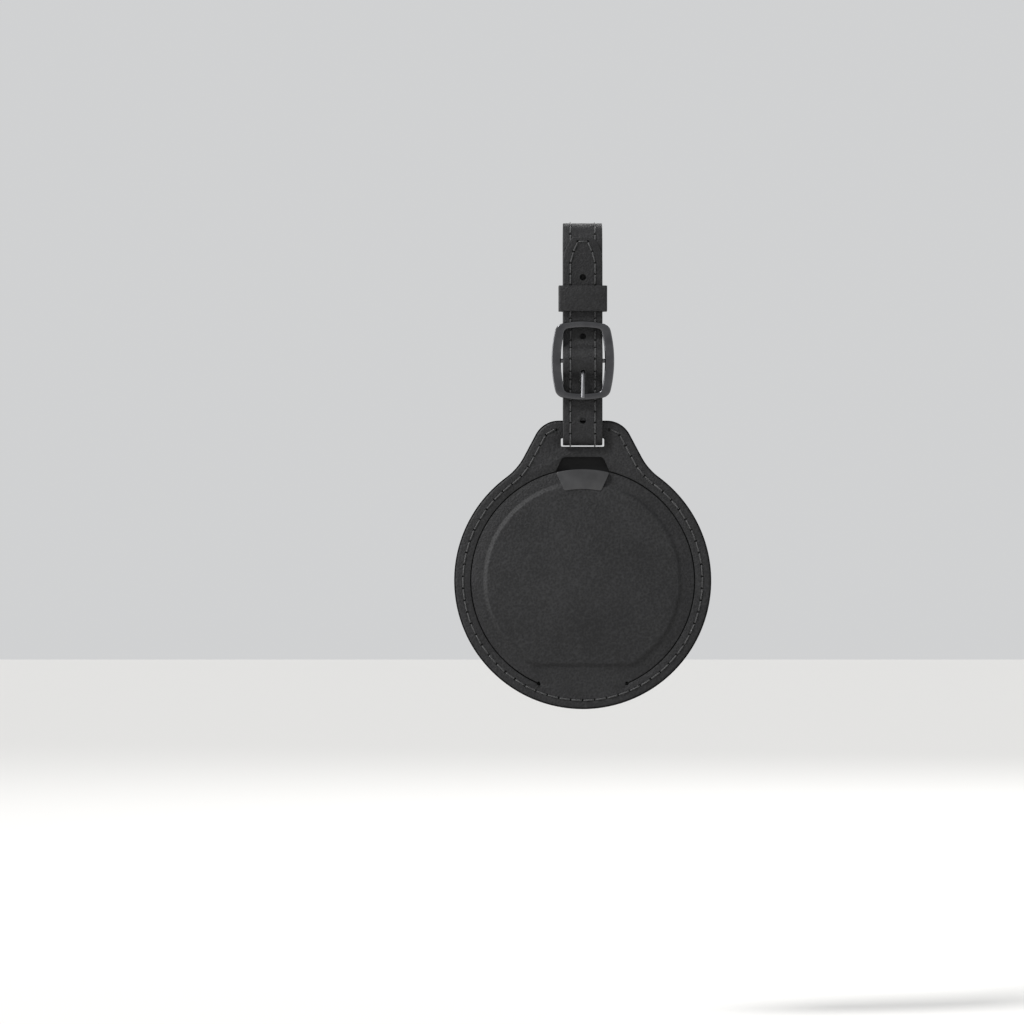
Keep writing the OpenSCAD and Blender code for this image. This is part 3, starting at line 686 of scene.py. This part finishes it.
def thread_material(name, shade):
    """Bonded polyester thread: fine diagonal plies with a slight sheen. Their grooves are painted darker and
    their crests lighter, a painted shade and painted highlight that follow the bump. The plies are drawn at
    0.3 mm, somewhat coarse, so that they show."""
    material = bpy.data.materials.new(name)
    material.use_nodes = True
    tree = material.node_tree
    shader = tree.nodes["Principled BSDF"]
    place = shader_node(tree, "ShaderNodeTexCoord").outputs["Object"]
    plies = shader_node(tree, "ShaderNodeTexWave", {"Scale": 0.5 / (0.3 * mm * math.pi), "Distortion": 1.2,
                                                    "Detail": 1.0}, {"Vector": place},
                        bands_direction="DIAGONAL")
    # Painted shade in the grooves between plies and painted highlight on their crests: the colour follows the
    # ply height.
    ramp = shader_node(tree, "ShaderNodeValToRGB", links={"Fac": plies.outputs["Fac"]})
    ramp.color_ramp.elements[0].color = linear(shade[0])
    ramp.color_ramp.elements[1].color = linear(shade[1])
    bump = shader_node(tree, "ShaderNodeBump", {"Strength": 0.5, "Distance": 0.05 * mm},
                       {"Height": plies.outputs["Fac"]})
    tree.links.new(ramp.outputs["Color"], shader.inputs["Base Color"])
    tree.links.new(bump.outputs["Normal"], shader.inputs["Normal"])
    shader.inputs["Roughness"].default_value = 0.55
    shader.inputs["Sheen Weight"].default_value = 0.3
    return material


tag_thread = thread_material("bonded charcoal thread", ("#161617", "#2a2a2b"))

start, moves = pear_moves(stitch_in)
right_half = trace(start, moves)
seam = right_half + [Vector((-p.x, p.y)) for p in reversed(right_half[:-1])]
seam_start = 7.4 * mm
seam_run = length_of(seam) - 2 * seam_start
stitch_count = round(seam_run / stitch_pitch)
pitch = seam_run / stitch_count

model_stitch = one_stitch(pitch - 0.35 * mm)
stitches = []
needle_holes = []
for side, level in ((1, face_y), (-1, back_y)):
    for i in range(stitch_count):
        at, along = walk(seam, seam_start + pitch * (i + 0.5))
        x_axis = Vector((along.x, 0, along.y))
        z_axis = Vector((0, -side, 0))
        turn = Matrix((x_axis, z_axis.cross(x_axis), z_axis)).transposed().to_4x4()
        place = Matrix.Translation(Vector((at.x, level, at.y + disc_z))) @ turn
        stitches.append(copy_to(model_stitch, place))
    for i in range(stitch_count + 1):
        at, along = walk(seam, seam_start + pitch * i)
        deselect()
        bpy.ops.mesh.primitive_cylinder_add(vertices=10, radius=needle_r, depth=1.2 * leather_t,
                                            location=(at.x, level, at.y + disc_z),
                                            rotation=(math.pi / 2, 0, 0))
        needle_holes.append(bpy.context.object)
bpy.data.objects.remove(model_stitch, do_unlink=True)
half = len(needle_holes) // 2
for leather, holes in ((face_leather, needle_holes[:half]), (back_leather, needle_holes[half:])):
    punch = join(holes, "needle_holes")
    only(punch)
    bpy.ops.object.transform_apply(location=True, rotation=True, scale=True)
    boolean(leather, punch)
    finish_piece(leather, tag_leather)
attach(back_leather, "tag")
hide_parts("rear_panel")
tag_stitching = join(stitches, "tag_stitching")
only(tag_stitching)
bpy.ops.object.transform_apply(location=True, rotation=True, scale=True)
finish_piece(tag_stitching, tag_thread, 60)
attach(tag_stitching, "tag")
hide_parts("perimeter_thread")


# ---- Core and flap inserts ----
# The core is a moulded ABS ring between the leathers, whose edge is painted with them in black wax.
# A greyboard stiffens the flap, and a thin split-leather lining is glued over it.
def grained(name, shade, rough, grain, depth, sheen=0.0, metallic=0.0):
    """A plain made surface: its shade and gloss drift a little over a fine grain of the given width."""
    material = bpy.data.materials.new(name)
    material.use_nodes = True
    tree = material.node_tree
    shader = tree.nodes["Principled BSDF"]
    place = shader_node(tree, "ShaderNodeTexCoord").outputs["Object"]
    grit = shader_node(tree, "ShaderNodeTexNoise", {"Scale": 1 / grain, "Detail": 3.0}, {"Vector": place})
    cloud = shader_node(tree, "ShaderNodeTexNoise", {"Scale": 0.08 / grain, "Detail": 2.0}, {"Vector": place})
    both = shader_node(tree, "ShaderNodeMix", {"Factor": 0.5},
                       {"A": grit.outputs["Fac"], "B": cloud.outputs["Fac"]})
    tint = shader_node(tree, "ShaderNodeValToRGB", links={"Fac": both.outputs["Result"]})
    tint.color_ramp.elements[0].position = 0.38
    tint.color_ramp.elements[0].color = linear(shade[0])
    tint.color_ramp.elements[1].position = 0.62
    tint.color_ramp.elements[1].color = linear(shade[1])
    gloss = shader_node(tree, "ShaderNodeMapRange", {"To Min": rough - 0.06, "To Max": rough + 0.06},
                        {"Value": both.outputs["Result"]})
    bump = shader_node(tree, "ShaderNodeBump", {"Strength": 0.4, "Distance": depth},
                       {"Height": grit.outputs["Fac"]})
    tree.links.new(tint.outputs["Color"], shader.inputs["Base Color"])
    tree.links.new(gloss.outputs["Result"], shader.inputs["Roughness"])
    tree.links.new(bump.outputs["Normal"], shader.inputs["Normal"])
    shader.inputs["Sheen Weight"].default_value = sheen
    shader.inputs["Metallic"].default_value = metallic
    return material


edge_paint = grained("waxed black edge paint", ("#070707", "#0b0b0c"), 0.6, 0.4 * mm, 0.02 * mm)
edge_paint.node_tree.nodes["Principled BSDF"].inputs["Specular IOR Level"].default_value = 0.25
into("core_frame", edge_paint)
into("flap_board", grained("grey bookbinder's board", ("#7d776b", "#938c7e"), 0.9, 0.35 * mm, 0.05 * mm))
into("flap_liner", leather_material("split-leather lining", ("#343435", "#3e3e40"), 0.3 * mm))


# ---- Address card and window ----
# An index card with ruled lines to write on, under a clear PET sheet pressed into the module's face.
card_stock = bpy.data.materials.new("ruled index card")
card_stock.use_nodes = True
card_tree = card_stock.node_tree
card_shader = card_tree.nodes["Principled BSDF"]
card_place = shader_node(card_tree, "ShaderNodeTexCoord").outputs["Object"]
card_axes = shader_node(card_tree, "ShaderNodeSeparateXYZ", links={"Vector": card_place})
rule_pitch = 6 * mm
rule_w = 0.3 * mm
rule_margin = 16 * mm
ruled = shader_node(card_tree, "ShaderNodeMath", {1: rule_pitch}, {0: card_axes.outputs["Z"]},
                    operation="PINGPONG")
on_rule = shader_node(card_tree, "ShaderNodeMath", {1: rule_w / 2}, {0: ruled.outputs["Value"]},
                      operation="LESS_THAN")
aside = shader_node(card_tree, "ShaderNodeMath", links={0: card_axes.outputs["X"]}, operation="ABSOLUTE")
inside = shader_node(card_tree, "ShaderNodeMath", {1: rule_margin}, {0: aside.outputs["Value"]},
                     operation="LESS_THAN")
printed = shader_node(card_tree, "ShaderNodeMath", links={0: on_rule.outputs["Value"],
                                                          1: inside.outputs["Value"]}, operation="MULTIPLY")
card_fibre = shader_node(card_tree, "ShaderNodeTexNoise", {"Scale": 2500.0, "Detail": 3.0},
                         {"Vector": card_place})
card_tint = shader_node(card_tree, "ShaderNodeValToRGB", links={"Fac": card_fibre.outputs["Fac"]})
card_tint.color_ramp.elements[0].color = linear("#e6e3d8")
card_tint.color_ramp.elements[1].color = linear("#f2f0e8")
card_mix = shader_node(card_tree, "ShaderNodeMix", {"B": linear("#8b97a6")},
                       {"Factor": printed.outputs["Value"], "A": card_tint.outputs["Color"]},
                       data_type="RGBA")
card_tree.links.new(card_mix.outputs["Result"], card_shader.inputs["Base Color"])
card_shader.inputs["Roughness"].default_value = 0.85
into("id_card", card_stock)

clear_sheet = grained("clear PET sheet", ("#f4f7f8", "#ffffff"), 0.12, 0.8 * mm, 0.004 * mm)
clear_sheet.node_tree.nodes["Principled BSDF"].inputs["Alpha"].default_value = 0.12
into("id_window", clear_sheet)


# ---- Sealed module ----
# Two ABS shells with a spark-eroded finish, a silicone gasket between them and four screws behind.
# A foam tape holds the module in the core.
shell_plastic = grained("spark-eroded black ABS", ("#19191a", "#202021"), 0.5, 0.15 * mm, 0.03 * mm)
for node in ("module_front_shell", "module_rear_shell"):
    into(node, shell_plastic)
into("module_gasket", grained("red-brown silicone", ("#5a1f18", "#6a2820"), 0.6, 0.3 * mm, 0.01 * mm))
into("module_screws", satin_metal("passivated stainless steel", ("#a9abad", "#b9bbbd"), 0.3))
into("module_adhesive", grained("white acrylic foam tape", ("#dcd8c9", "#e8e4d6"), 0.8, 0.2 * mm, 0.05 * mm))
seal_rubber = grained("grey silicone rubber", ("#3c3c3e", "#464648"), 0.65, 0.2 * mm, 0.01 * mm)
into("button_seal", seal_rubber)
into("pair_button", grained("soft-touch elastomer", ("#2b2b2d", "#343436"), 0.7, 0.12 * mm, 0.01 * mm, 0.2))
pipe = grained("frosted clear polycarbonate", ("#e4e8ea", "#f4f6f7"), 0.35, 0.1 * mm, 0.01 * mm)
pipe.node_tree.nodes["Principled BSDF"].inputs["Transmission Weight"].default_value = 0.6
into("light_pipe", pipe)


# ---- Electronics ----
# A green FR4 board with its radio, antenna, dome switch and loose parts, a pouch cell, a flat-wound
# charging coil on ferrite inside a ring of magnets, and a brass sounder with its ceramic.
into("circuit_board", grained("green solder mask", ("#0f3d26", "#14492e"), 0.3, 0.5 * mm, 0.01 * mm))
into("radio_chip", grained("moulded black epoxy", ("#151516", "#1d1d1e"), 0.55, 0.08 * mm, 0.01 * mm))
into("board_components", grained("tinned ceramic", ("#54483a", "#7d7164"), 0.45, 0.5 * mm, 0.01 * mm))
into("antenna", satin_metal("gilded copper strip", ("#c9a35a", "#dab56a"), 0.3))
into("battery", grained("aluminium pouch foil", ("#9a9da1", "#b0b3b7"), 0.4, 0.6 * mm, 0.05 * mm, 0.0, 1.0))
into("ferrite_sheet", grained("ferrite sheet", ("#2c2c2f", "#36363a"), 0.55, 0.2 * mm, 0.01 * mm))
nickel = satin_metal("nickel-plated neodymium", ("#b3b4b6", "#c3c4c6"), 0.22)
for node in ("alignment_magnets", "closure_magnets"):
    into(node, nickel)
into("sounder_plate", satin_metal("rolled brass", ("#c2a052", "#d1b064"), 0.28))
into("sounder_ceramic", grained("fired piezo ceramic", ("#d8d6cc", "#e3e1d8"), 0.6, 0.1 * mm, 0.01 * mm))
into("dome_switch", satin_metal("spring stainless steel", ("#b5b6b8", "#c5c6c8"), 0.25))

coil_wire = satin_metal("enamelled copper winding", ("#b0652f", "#c97b40"), 0.3)
coil_tree = coil_wire.node_tree
turn_pitch = 0.5 * mm
coil_place = shader_node(coil_tree, "ShaderNodeTexCoord").outputs["Object"]
coil_shift = shader_node(coil_tree, "ShaderNodeMapping", {"Location": (0, 0, -disc_z)},
                         {"Vector": coil_place})
coil_rings = shader_node(coil_tree, "ShaderNodeTexWave", {"Scale": 1 / (turn_pitch * 20)},
                         {"Vector": coil_shift.outputs["Vector"]}, wave_type="RINGS", rings_direction="Y")
coil_bump = shader_node(coil_tree, "ShaderNodeBump", {"Strength": 0.8, "Distance": 0.1 * mm},
                        {"Height": coil_rings.outputs["Fac"]})
coil_tree.links.new(coil_bump.outputs["Normal"], coil_tree.nodes["Principled BSDF"].inputs["Normal"])
into("charging_coil", coil_wire)


# ---- Strap ----
# Two plies of the same hide, glued back to back and cut to 11 mm with painted edges and a blunt point.
# They are modelled flat, punched, and then bent along the strap's real route round bar, handle and slot.
ply_t = 0.8 * mm
layer_gap = 0.1 * mm
fit = 0.05 * mm
handle_r = 6.5 * mm
bend_r = handle_r + ply_t
strap_w = 11 * mm
tip_len = 7.2 * mm
tip_narrow = 2.6 * mm
tip_r = (tip_len ** 2 + tip_narrow ** 2) / (2 * tip_narrow)
tail_y = -(bend_r + 2 * ply_t + layer_gap)
tip_z = bend_r + ply_t - 4.4 * mm
fold_offset = 2 * ply_t + layer_gap
fold_end = disc_z + 74 * mm
bar_low, bar_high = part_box("buckle_bar")
bar = (bar_low + bar_high) / 2
bar_r = (bar_high.z - bar_low.z) / 2
bar_hug = bar_r + fit
crest_y = bar.y - (bar_hug + 2 * ply_t + layer_gap)
rise_len = 6.5 * mm
rise_d = tail_y - crest_y
sweep_r = (rise_len ** 2 + rise_d ** 2) / (4 * rise_d)
sweep_a = math.degrees(2 * math.atan(rise_d / rise_len))
slot_mid = disc_z + slot_low + 0.4 * mm + ply_t
slot_bend = 2 * ply_t
rear_leg = Vector((mid_y + 5.2 * mm, leather_high.z))
leg_turn = math.degrees(math.atan2(rear_leg.y, rear_leg.x) + math.acos(bend_r / rear_leg.length))


def arc(centre, radius, first, last, steps):
    """Points of an arc in depth and height."""
    return [Vector(centre) + radius * Vector((math.cos(math.radians(a)), math.sin(math.radians(a))))
            for a in (first + (last - first) * i / steps for i in range(steps + 1))]


def crest(offset):
    return arc((crest_y + sweep_r, bar.z), sweep_r - offset, 180, 180 - sweep_a, 8)


def foot(offset):
    return arc((tail_y - sweep_r, bar.z + rise_len), sweep_r + offset, -sweep_a, 0, 8)


def sweep(offset):
    return crest(offset) + foot(offset)[1:]


behind = fold_offset + ply_t + fit
fold = [Vector((tail_y + behind, fold_end))] + foot(behind)[::-1]
fold += arc((bar.y, bar.z), bar_hug, 0, -180, 16) + sweep(fold_offset)[1:]
loop = arc((0, 0), bend_r, 180, leg_turn, 36) + [rear_leg]
loop += arc((rear_leg.x - slot_bend, slot_mid + slot_bend), slot_bend, 0, -90, 8)
loop += arc((tail_y + slot_bend, slot_mid + slot_bend), slot_bend, -90, -180, 8)
tail = [Vector((p.x, 2 * bar.z - p.y)) for p in sweep(0)[::-1]] + sweep(0)[1:] + [Vector((tail_y, tip_z))]
route = fold + loop + tail
route_marks = [length_of(route[:i + 1]) for i in range(len(route))]
strap_run = route_marks[-1]
lining_start = length_of(fold[:-5])


def run_at(z):
    """Distance along the strap where its front leg reaches a height."""
    for a, b, mark in zip(route[len(fold + loop) - 1:], tail, route_marks[len(fold + loop) - 1:]):
        if a.y <= z <= b.y:
            return mark + (b - a).length * (z - a.y) / (b.y - a.y)


def flat(x, y):
    return Vector((x, y, 0))


def strap_ply(name, first, low, high):
    """A flat ply from a distance along the strap to its point, between two heights."""
    turn = math.degrees(math.asin(tip_len / tip_r))
    made = draw(name, (first, 0), [(first, strap_w / 2), (strap_run - tip_len, strap_w / 2),
                                   ((strap_run - tip_len, strap_w / 2 - tip_r), -turn, 12), (strap_run, 0)],
                flat, (0, 0, -1))
    mirror(made, "Y")
    slab(made, (0, 0, high - low))
    edit(made)
    bpy.ops.transform.translate(value=(0, 0, low))
    done()
    return made


def bend(piece):
    """Cuts a flat piece across wherever the route turns, and bends it to the route."""
    edit(piece)
    for mark in route_marks[1:-1]:
        bpy.ops.mesh.select_all(action="SELECT")
        bpy.ops.mesh.bisect(plane_co=(mark, 0, 0), plane_no=(1, 0, 0))
    done()
    follow(piece)


def follow(piece):
    guide = bpy.data.curves.new("strap_route", "CURVE")
    guide.dimensions = "3D"
    guide.twist_mode = "MINIMUM"
    spline = guide.splines.new("POLY")
    spline.points.add(len(route) - 1)
    for point, place in zip(spline.points, route):
        point.co = (0, place.x, place.y, 1)
    line = bpy.data.objects.new("strap_route", guide)
    bpy.context.collection.objects.link(line)
    only(piece)
    along = piece.modifiers.new("route", "CURVE")
    along.object = line
    along.deform_axis = "POS_X"
    bpy.ops.object.modifier_apply(modifier="route")
    bpy.data.objects.remove(line, do_unlink=True)
    edit(piece)
    bpy.ops.mesh.normals_make_consistent(inside=False)
    done()


def punch_row(places, radius, depth):
    made = []
    for x, y, z in places:
        deselect()
        bpy.ops.mesh.primitive_cylinder_add(vertices=10 if radius < 0.5 * mm else 32,
                                            radius=radius, depth=depth,
                                            location=(x, y, z))
        made.append(bpy.context.object)
    row = join(made, "punches")
    only(row)
    bpy.ops.object.transform_apply(location=True, rotation=True, scale=True)
    return row


strap_leather = leather_material("glazed charcoal strap hide", ("#111112", "#232324"), 0.45 * mm)
hole_r = 0.9 * mm
hole_marks = [run_at(z) for z in (leather_high.z, bar.z + 6.75 * mm, bend_r + ply_t - 15.6 * mm)]
prong_exit = bar.z - 5.2 * mm
strap_stitch_y = strap_w / 2 - 2.05 * mm
strap_pitch = 3.1 * mm

outer_ply = strap_ply("outer_ply", 0.0, 0.0, ply_t)
bevel_where(outer_ply, lambda p: p.z > ply_t - 0.01 * mm, 0.22 * mm, 3)
lining_ply = strap_ply("lining_ply", lining_start, -ply_t, 0.0)
bevel_where(lining_ply, lambda p: p.z < -ply_t + 0.01 * mm, 0.22 * mm, 3)

# The prong's hole is a slot through the tail, and a gap in the fold clears the prong's eye.
prong_marks = [run_at(prong_exit), run_at(bar.z - 2.2 * mm)]
bar_mark = length_of(fold[:18])


def oblong(first, last, half_width, low, high):
    made = draw("oblong", (first, 0), [((first + half_width, 0), -90, 8), (last - half_width, half_width),
                                       ((last - half_width, 0), -90, 8)], flat, (0, 0, -1))
    mirror(made, "Y")
    slab(made, (0, 0, high - low))
    edit(made)
    bpy.ops.transform.translate(value=(0, 0, low))
    done()
    return made


for ply in (outer_ply, lining_ply):
    boolean(ply, punch_row([(mark, 0, 0) for mark in hole_marks], hole_r, 4 * ply_t))
    boolean(ply, oblong(prong_marks[0] - 0.9 * mm, prong_marks[1], 0.9 * mm, -2 * ply_t, 2 * ply_t))
boolean(outer_ply, oblong(bar_mark - 3.2 * mm, bar_mark + 3.2 * mm, 1.5 * mm, -ply_t, 2 * ply_t))


# ---- Strap stitching ----
# The same thread in two rows that turn in and meet round the point. The needle's pits show between stitches.
strap_thread = thread_material("bonded black thread", ("#151516", "#28282a"))


def strap_row(first, last, level, side):
    """Stitches and pits along both rows of a ply, laid flat on its outer or inner side."""
    count = round((last - first) / strap_pitch)
    step = (last - first) / count
    stitch = one_stitch(step - 0.35 * mm)
    turn = Matrix.Rotation(0.0 if side > 0 else math.pi, 4, "X")
    made = []
    pits = []
    for row in (-1, 1):
        for i in range(count):
            place = Matrix.Translation((first + step * (i + 0.5), row * strap_stitch_y, level)) @ turn
            made.append(copy_to(stitch, place))
        pits += [(first + step * i, row * strap_stitch_y, level) for i in range(count + 1)]
    bpy.data.objects.remove(stitch, do_unlink=True)
    return made, pits


point_start = strap_run - tip_len
outer_stitches, outer_pits = strap_row(2 * mm, point_start, ply_t, 1)
lining_stitches, lining_pits = strap_row(lining_start + 1.5 * mm, point_start, -ply_t, -1)

# Towards the point the rows close in, and a short stitch joins them across.
point_line = [Vector((point_start, strap_stitch_y)), Vector((strap_run - 4.0 * mm, 2.6 * mm)),
              Vector((strap_run - 1.2 * mm, 1.4 * mm))]
point_line += [Vector((p.x, -p.y)) for p in reversed(point_line)]
for level, side, made, pits in ((ply_t, 1, outer_stitches, outer_pits),
                                (-ply_t, -1, lining_stitches, lining_pits)):
    for a, b in zip(point_line, point_line[1:]):
        stitch = one_stitch((b - a).length - 0.35 * mm)
        along = (b - a).normalized()
        x_axis = Vector((along.x, along.y, 0))
        z_axis = Vector((0, 0, side))
        turn = Matrix((x_axis, z_axis.cross(x_axis), z_axis)).transposed().to_4x4()
        middle = (a + b) / 2
        made.append(copy_to(stitch, Matrix.Translation((middle.x, middle.y, level)) @ turn))
        bpy.data.objects.remove(stitch, do_unlink=True)
    pits += [(p.x, p.y, level) for p in point_line[1:-1]]
boolean(outer_ply, punch_row(outer_pits, needle_r, 0.9 * mm))
boolean(lining_ply, punch_row(lining_pits, needle_r, 0.9 * mm))
strap_stitching = join(outer_stitches + lining_stitches, "strap_stitching")
only(strap_stitching)
bpy.ops.object.transform_apply(location=True, rotation=True, scale=True)
follow(strap_stitching)
finish_piece(strap_stitching, strap_thread, 60)
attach(strap_stitching, "strap")
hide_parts("strap_thread")
for ply, node in ((outer_ply, "strap_outer"), (lining_ply, "strap_lining")):
    bend(ply)
    finish_piece(ply, strap_leather)
    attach(ply, "strap")
    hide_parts(node)


# ---- Buckle frame ----
# Zinc die-casting, plated black nickel: a flat face between polished bevels, bowed on all four sides.
# Two lugs on its back hold the steel bar.
def meet(a, a_r, b, b_r):
    """Where two circles cross, on the right of the line from a to b."""
    gap = b - a
    along = (gap.length_squared + a_r ** 2 - b_r ** 2) / (2 * gap.length)
    aside = math.sqrt(a_r ** 2 - along ** 2)
    unit = gap.normalized()
    return a + along * unit + aside * Vector((unit.y, -unit.x))


frame_low, frame_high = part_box("buckle_frame")
frame_w = frame_high.x - frame_low.x
frame_h = frame_high.z - frame_low.z
frame_t = 1.85 * mm
rail_w = 2.6 * mm
end_rail_w = 1.8 * mm
side_bow = 36 * mm
end_bow = 26 * mm
outer_corner = 2.7 * mm
inner_corner = 1.5 * mm
lug_wall = 0.7 * mm
lug_in = 0.2 * mm
lug_shift = 0.1 * mm
buckle_metal = satin_metal("polished black nickel", ("#4e4e50", "#575759"), 0.24)


def at_frame(x, z):
    return Vector((x, frame_low.y, z + bar.z))


def bowed_moves(w, h, corner):
    end_c, side_c = Vector((0, h / 2 - end_bow)), Vector((w / 2 - side_bow, 0))
    corner_c = meet(end_c, end_bow - corner, side_c, side_bow - corner)
    if corner_c.x < 0 or corner_c.y < 0:
        corner_c = meet(side_c, side_bow - corner, end_c, end_bow - corner)
    end_turn = math.degrees(math.atan2(corner_c.x - end_c.x, corner_c.y - end_c.y))
    side_turn = math.degrees(math.atan2(corner_c.y - side_c.y, corner_c.x - side_c.x))
    moves = [(end_c, -end_turn, 10), (corner_c, end_turn + side_turn - 90, 14), (side_c, -side_turn, 10)]
    return (0, h / 2), moves


loops = []
for w, h, corner in ((frame_w, frame_h, outer_corner),
                     (frame_w - 2 * rail_w, frame_h - 2 * end_rail_w, inner_corner)):
    start, moves = bowed_moves(w, h, corner)
    ring = draw("ring", start, moves, at_frame, (0, 1, 0))
    mirror(ring)
    only(ring)
    flip = ring.modifiers.new("mirror", "MIRROR")
    flip.use_axis = [False, False, True]
    flip.merge_threshold = 0.002 * mm
    bpy.ops.object.empty_add(location=at_frame(0, 0))
    centre = bpy.context.object
    flip.mirror_object = centre
    only(ring)
    bpy.ops.object.modifier_apply(modifier="mirror")
    bpy.data.objects.remove(centre, do_unlink=True)
    loops.append(ring)
buckle = join(loops, "buckle_casting")
edit(buckle)
bpy.ops.mesh.remove_doubles(threshold=0.001 * mm)
bpy.ops.mesh.bridge_edge_loops()
bpy.ops.mesh.select_all(action="SELECT")
bpy.ops.mesh.extrude_region_move(TRANSFORM_OT_translate={"value": (0, frame_t, 0)})
bpy.ops.mesh.select_all(action="SELECT")
bpy.ops.mesh.normals_make_consistent(inside=False)
done()
bevel_where(buckle, lambda p: p.y < frame_low.y + 0.01 * mm, 0.38 * mm, 4)
bevel_where(buckle, lambda p: p.y > frame_low.y + frame_t - 0.01 * mm, 0.3 * mm, 3)
for side in (-1, 1):
    deselect()
    bpy.ops.mesh.primitive_cylinder_add(vertices=32, radius=bar_r + lug_wall, depth=rail_w - 2 * lug_in,
                                        location=(side * (frame_w / 2 - rail_w / 2 - lug_shift),
                                                  bar.y, bar.z),
                                        rotation=(0, math.pi / 2, 0))
    lug = bpy.context.object
    bpy.ops.object.transform_apply(location=True, rotation=True, scale=True)
    bevel_where(lug, lambda p: True, 0.2 * mm, 3)
    boolean(buckle, lug, "UNION")
finish_piece(buckle, buckle_metal, 40)
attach(buckle, "buckle")
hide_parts("buckle_frame")
into("buckle_bar", satin_metal("drawn steel bar", ("#6b6b6d", "#78787a"), 0.32))


# ---- Prong ----
# Steel wire, rounded at its tip and rolled into an eye round the bar, plated like the frame.
prong_low, prong_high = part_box("buckle_prong")
prong_r = 0.55 * mm
eye_r = 1.3 * mm
eye_w = prong_high.x - prong_low.x
rail_run = Vector((frame_h / 2 - end_rail_w, bar.y - frame_low.y + fit))
prong_lean = math.atan2(rail_run.y, rail_run.x) + math.asin(prong_r / rail_run.length)
prong_run = (frame_h / 2 - 0.3 * mm) / math.cos(prong_lean)
deselect()
bpy.ops.mesh.primitive_cylinder_add(vertices=24, radius=prong_r, depth=prong_run,
                                    location=(0, 0, prong_run / 2))
prong = bpy.context.object
prong.name = "prong_wire"
bpy.ops.object.transform_apply(location=True, rotation=True, scale=True)
bevel_where(prong, lambda p: p.z > prong_run - 0.01 * mm, 0.5 * mm, 5)
edit(prong)
bpy.ops.mesh.bisect(plane_co=(0, 0, prong_run * 0.55), plane_no=(0, 0, 1))
done()
prong.rotation_euler = (math.pi - prong_lean, 0, 0)
prong.location = (0, bar.y, bar.z)
only(prong)
bpy.ops.object.transform_apply(location=True, rotation=True, scale=True)
for radius, depth, round_by, operation in ((eye_r, eye_w, 0.25 * mm, "UNION"),
                                           (bar_r + fit, eye_w + 1 * mm, 0.0, "DIFFERENCE")):
    deselect()
    bpy.ops.mesh.primitive_cylinder_add(vertices=40, radius=radius, depth=depth,
                                        location=(0, bar.y, bar.z), rotation=(0, math.pi / 2, 0))
    eye = bpy.context.object
    bpy.ops.object.transform_apply(location=True, rotation=True, scale=True)
    if round_by:
        bevel_where(eye, lambda p: True, round_by, 3)
    boolean(prong, eye, operation)
finish_piece(prong, satin_metal("polished nickel wire", ("#6e6e70", "#7a7a7c"), 0.35), 40)
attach(prong, "prong")
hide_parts("buckle_prong")


# ---- Sliding loop ----
# A band of the strap's hide, folded round both layers with painted edges and joined by staples behind.
loop_low, loop_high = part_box("keeper_loop")
keeper_t = 1.0 * mm
room_x = loop_high.x - keeper_t - 0.15 * mm


def in_plan(x, y):
    return Vector((x, y, loop_low.z))


def loop_blank(half_w, front, back, corner):
    made = draw("loop", (0, front), [(half_w - corner, front), ((half_w - corner, front + corner), 90, 6),
                                     (half_w, back - corner), ((half_w - corner, back - corner), 90, 6),
                                     (0, back)], in_plan, (0, 0, -1))
    mirror(made)
    return made


keeper = loop_blank(loop_high.x, loop_low.y, loop_high.y, 0.7 * mm)
join([keeper, loop_blank(room_x, loop_low.y + keeper_t, loop_high.y - keeper_t, 0.2 * mm)], "keeper_band")
edit(keeper)
bpy.ops.mesh.remove_doubles(threshold=0.001 * mm)
bpy.ops.mesh.bridge_edge_loops()
bpy.ops.mesh.select_all(action="SELECT")
bpy.ops.mesh.extrude_region_move(TRANSFORM_OT_translate={"value": (0, 0, loop_high.z - loop_low.z)})
bpy.ops.mesh.select_all(action="SELECT")
bpy.ops.mesh.normals_make_consistent(inside=False)
done()
bevel_where(keeper, lambda p: p.z < loop_low.z + 0.01 * mm or p.z > loop_high.z - 0.01 * mm, 0.2 * mm, 3, 60)
finish_piece(keeper, strap_leather)
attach(keeper, "keeper")
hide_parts("keeper_loop")
into("keeper_staple", satin_metal("steel staple wire", ("#9c9ea0", "#adafb1"), 0.3))
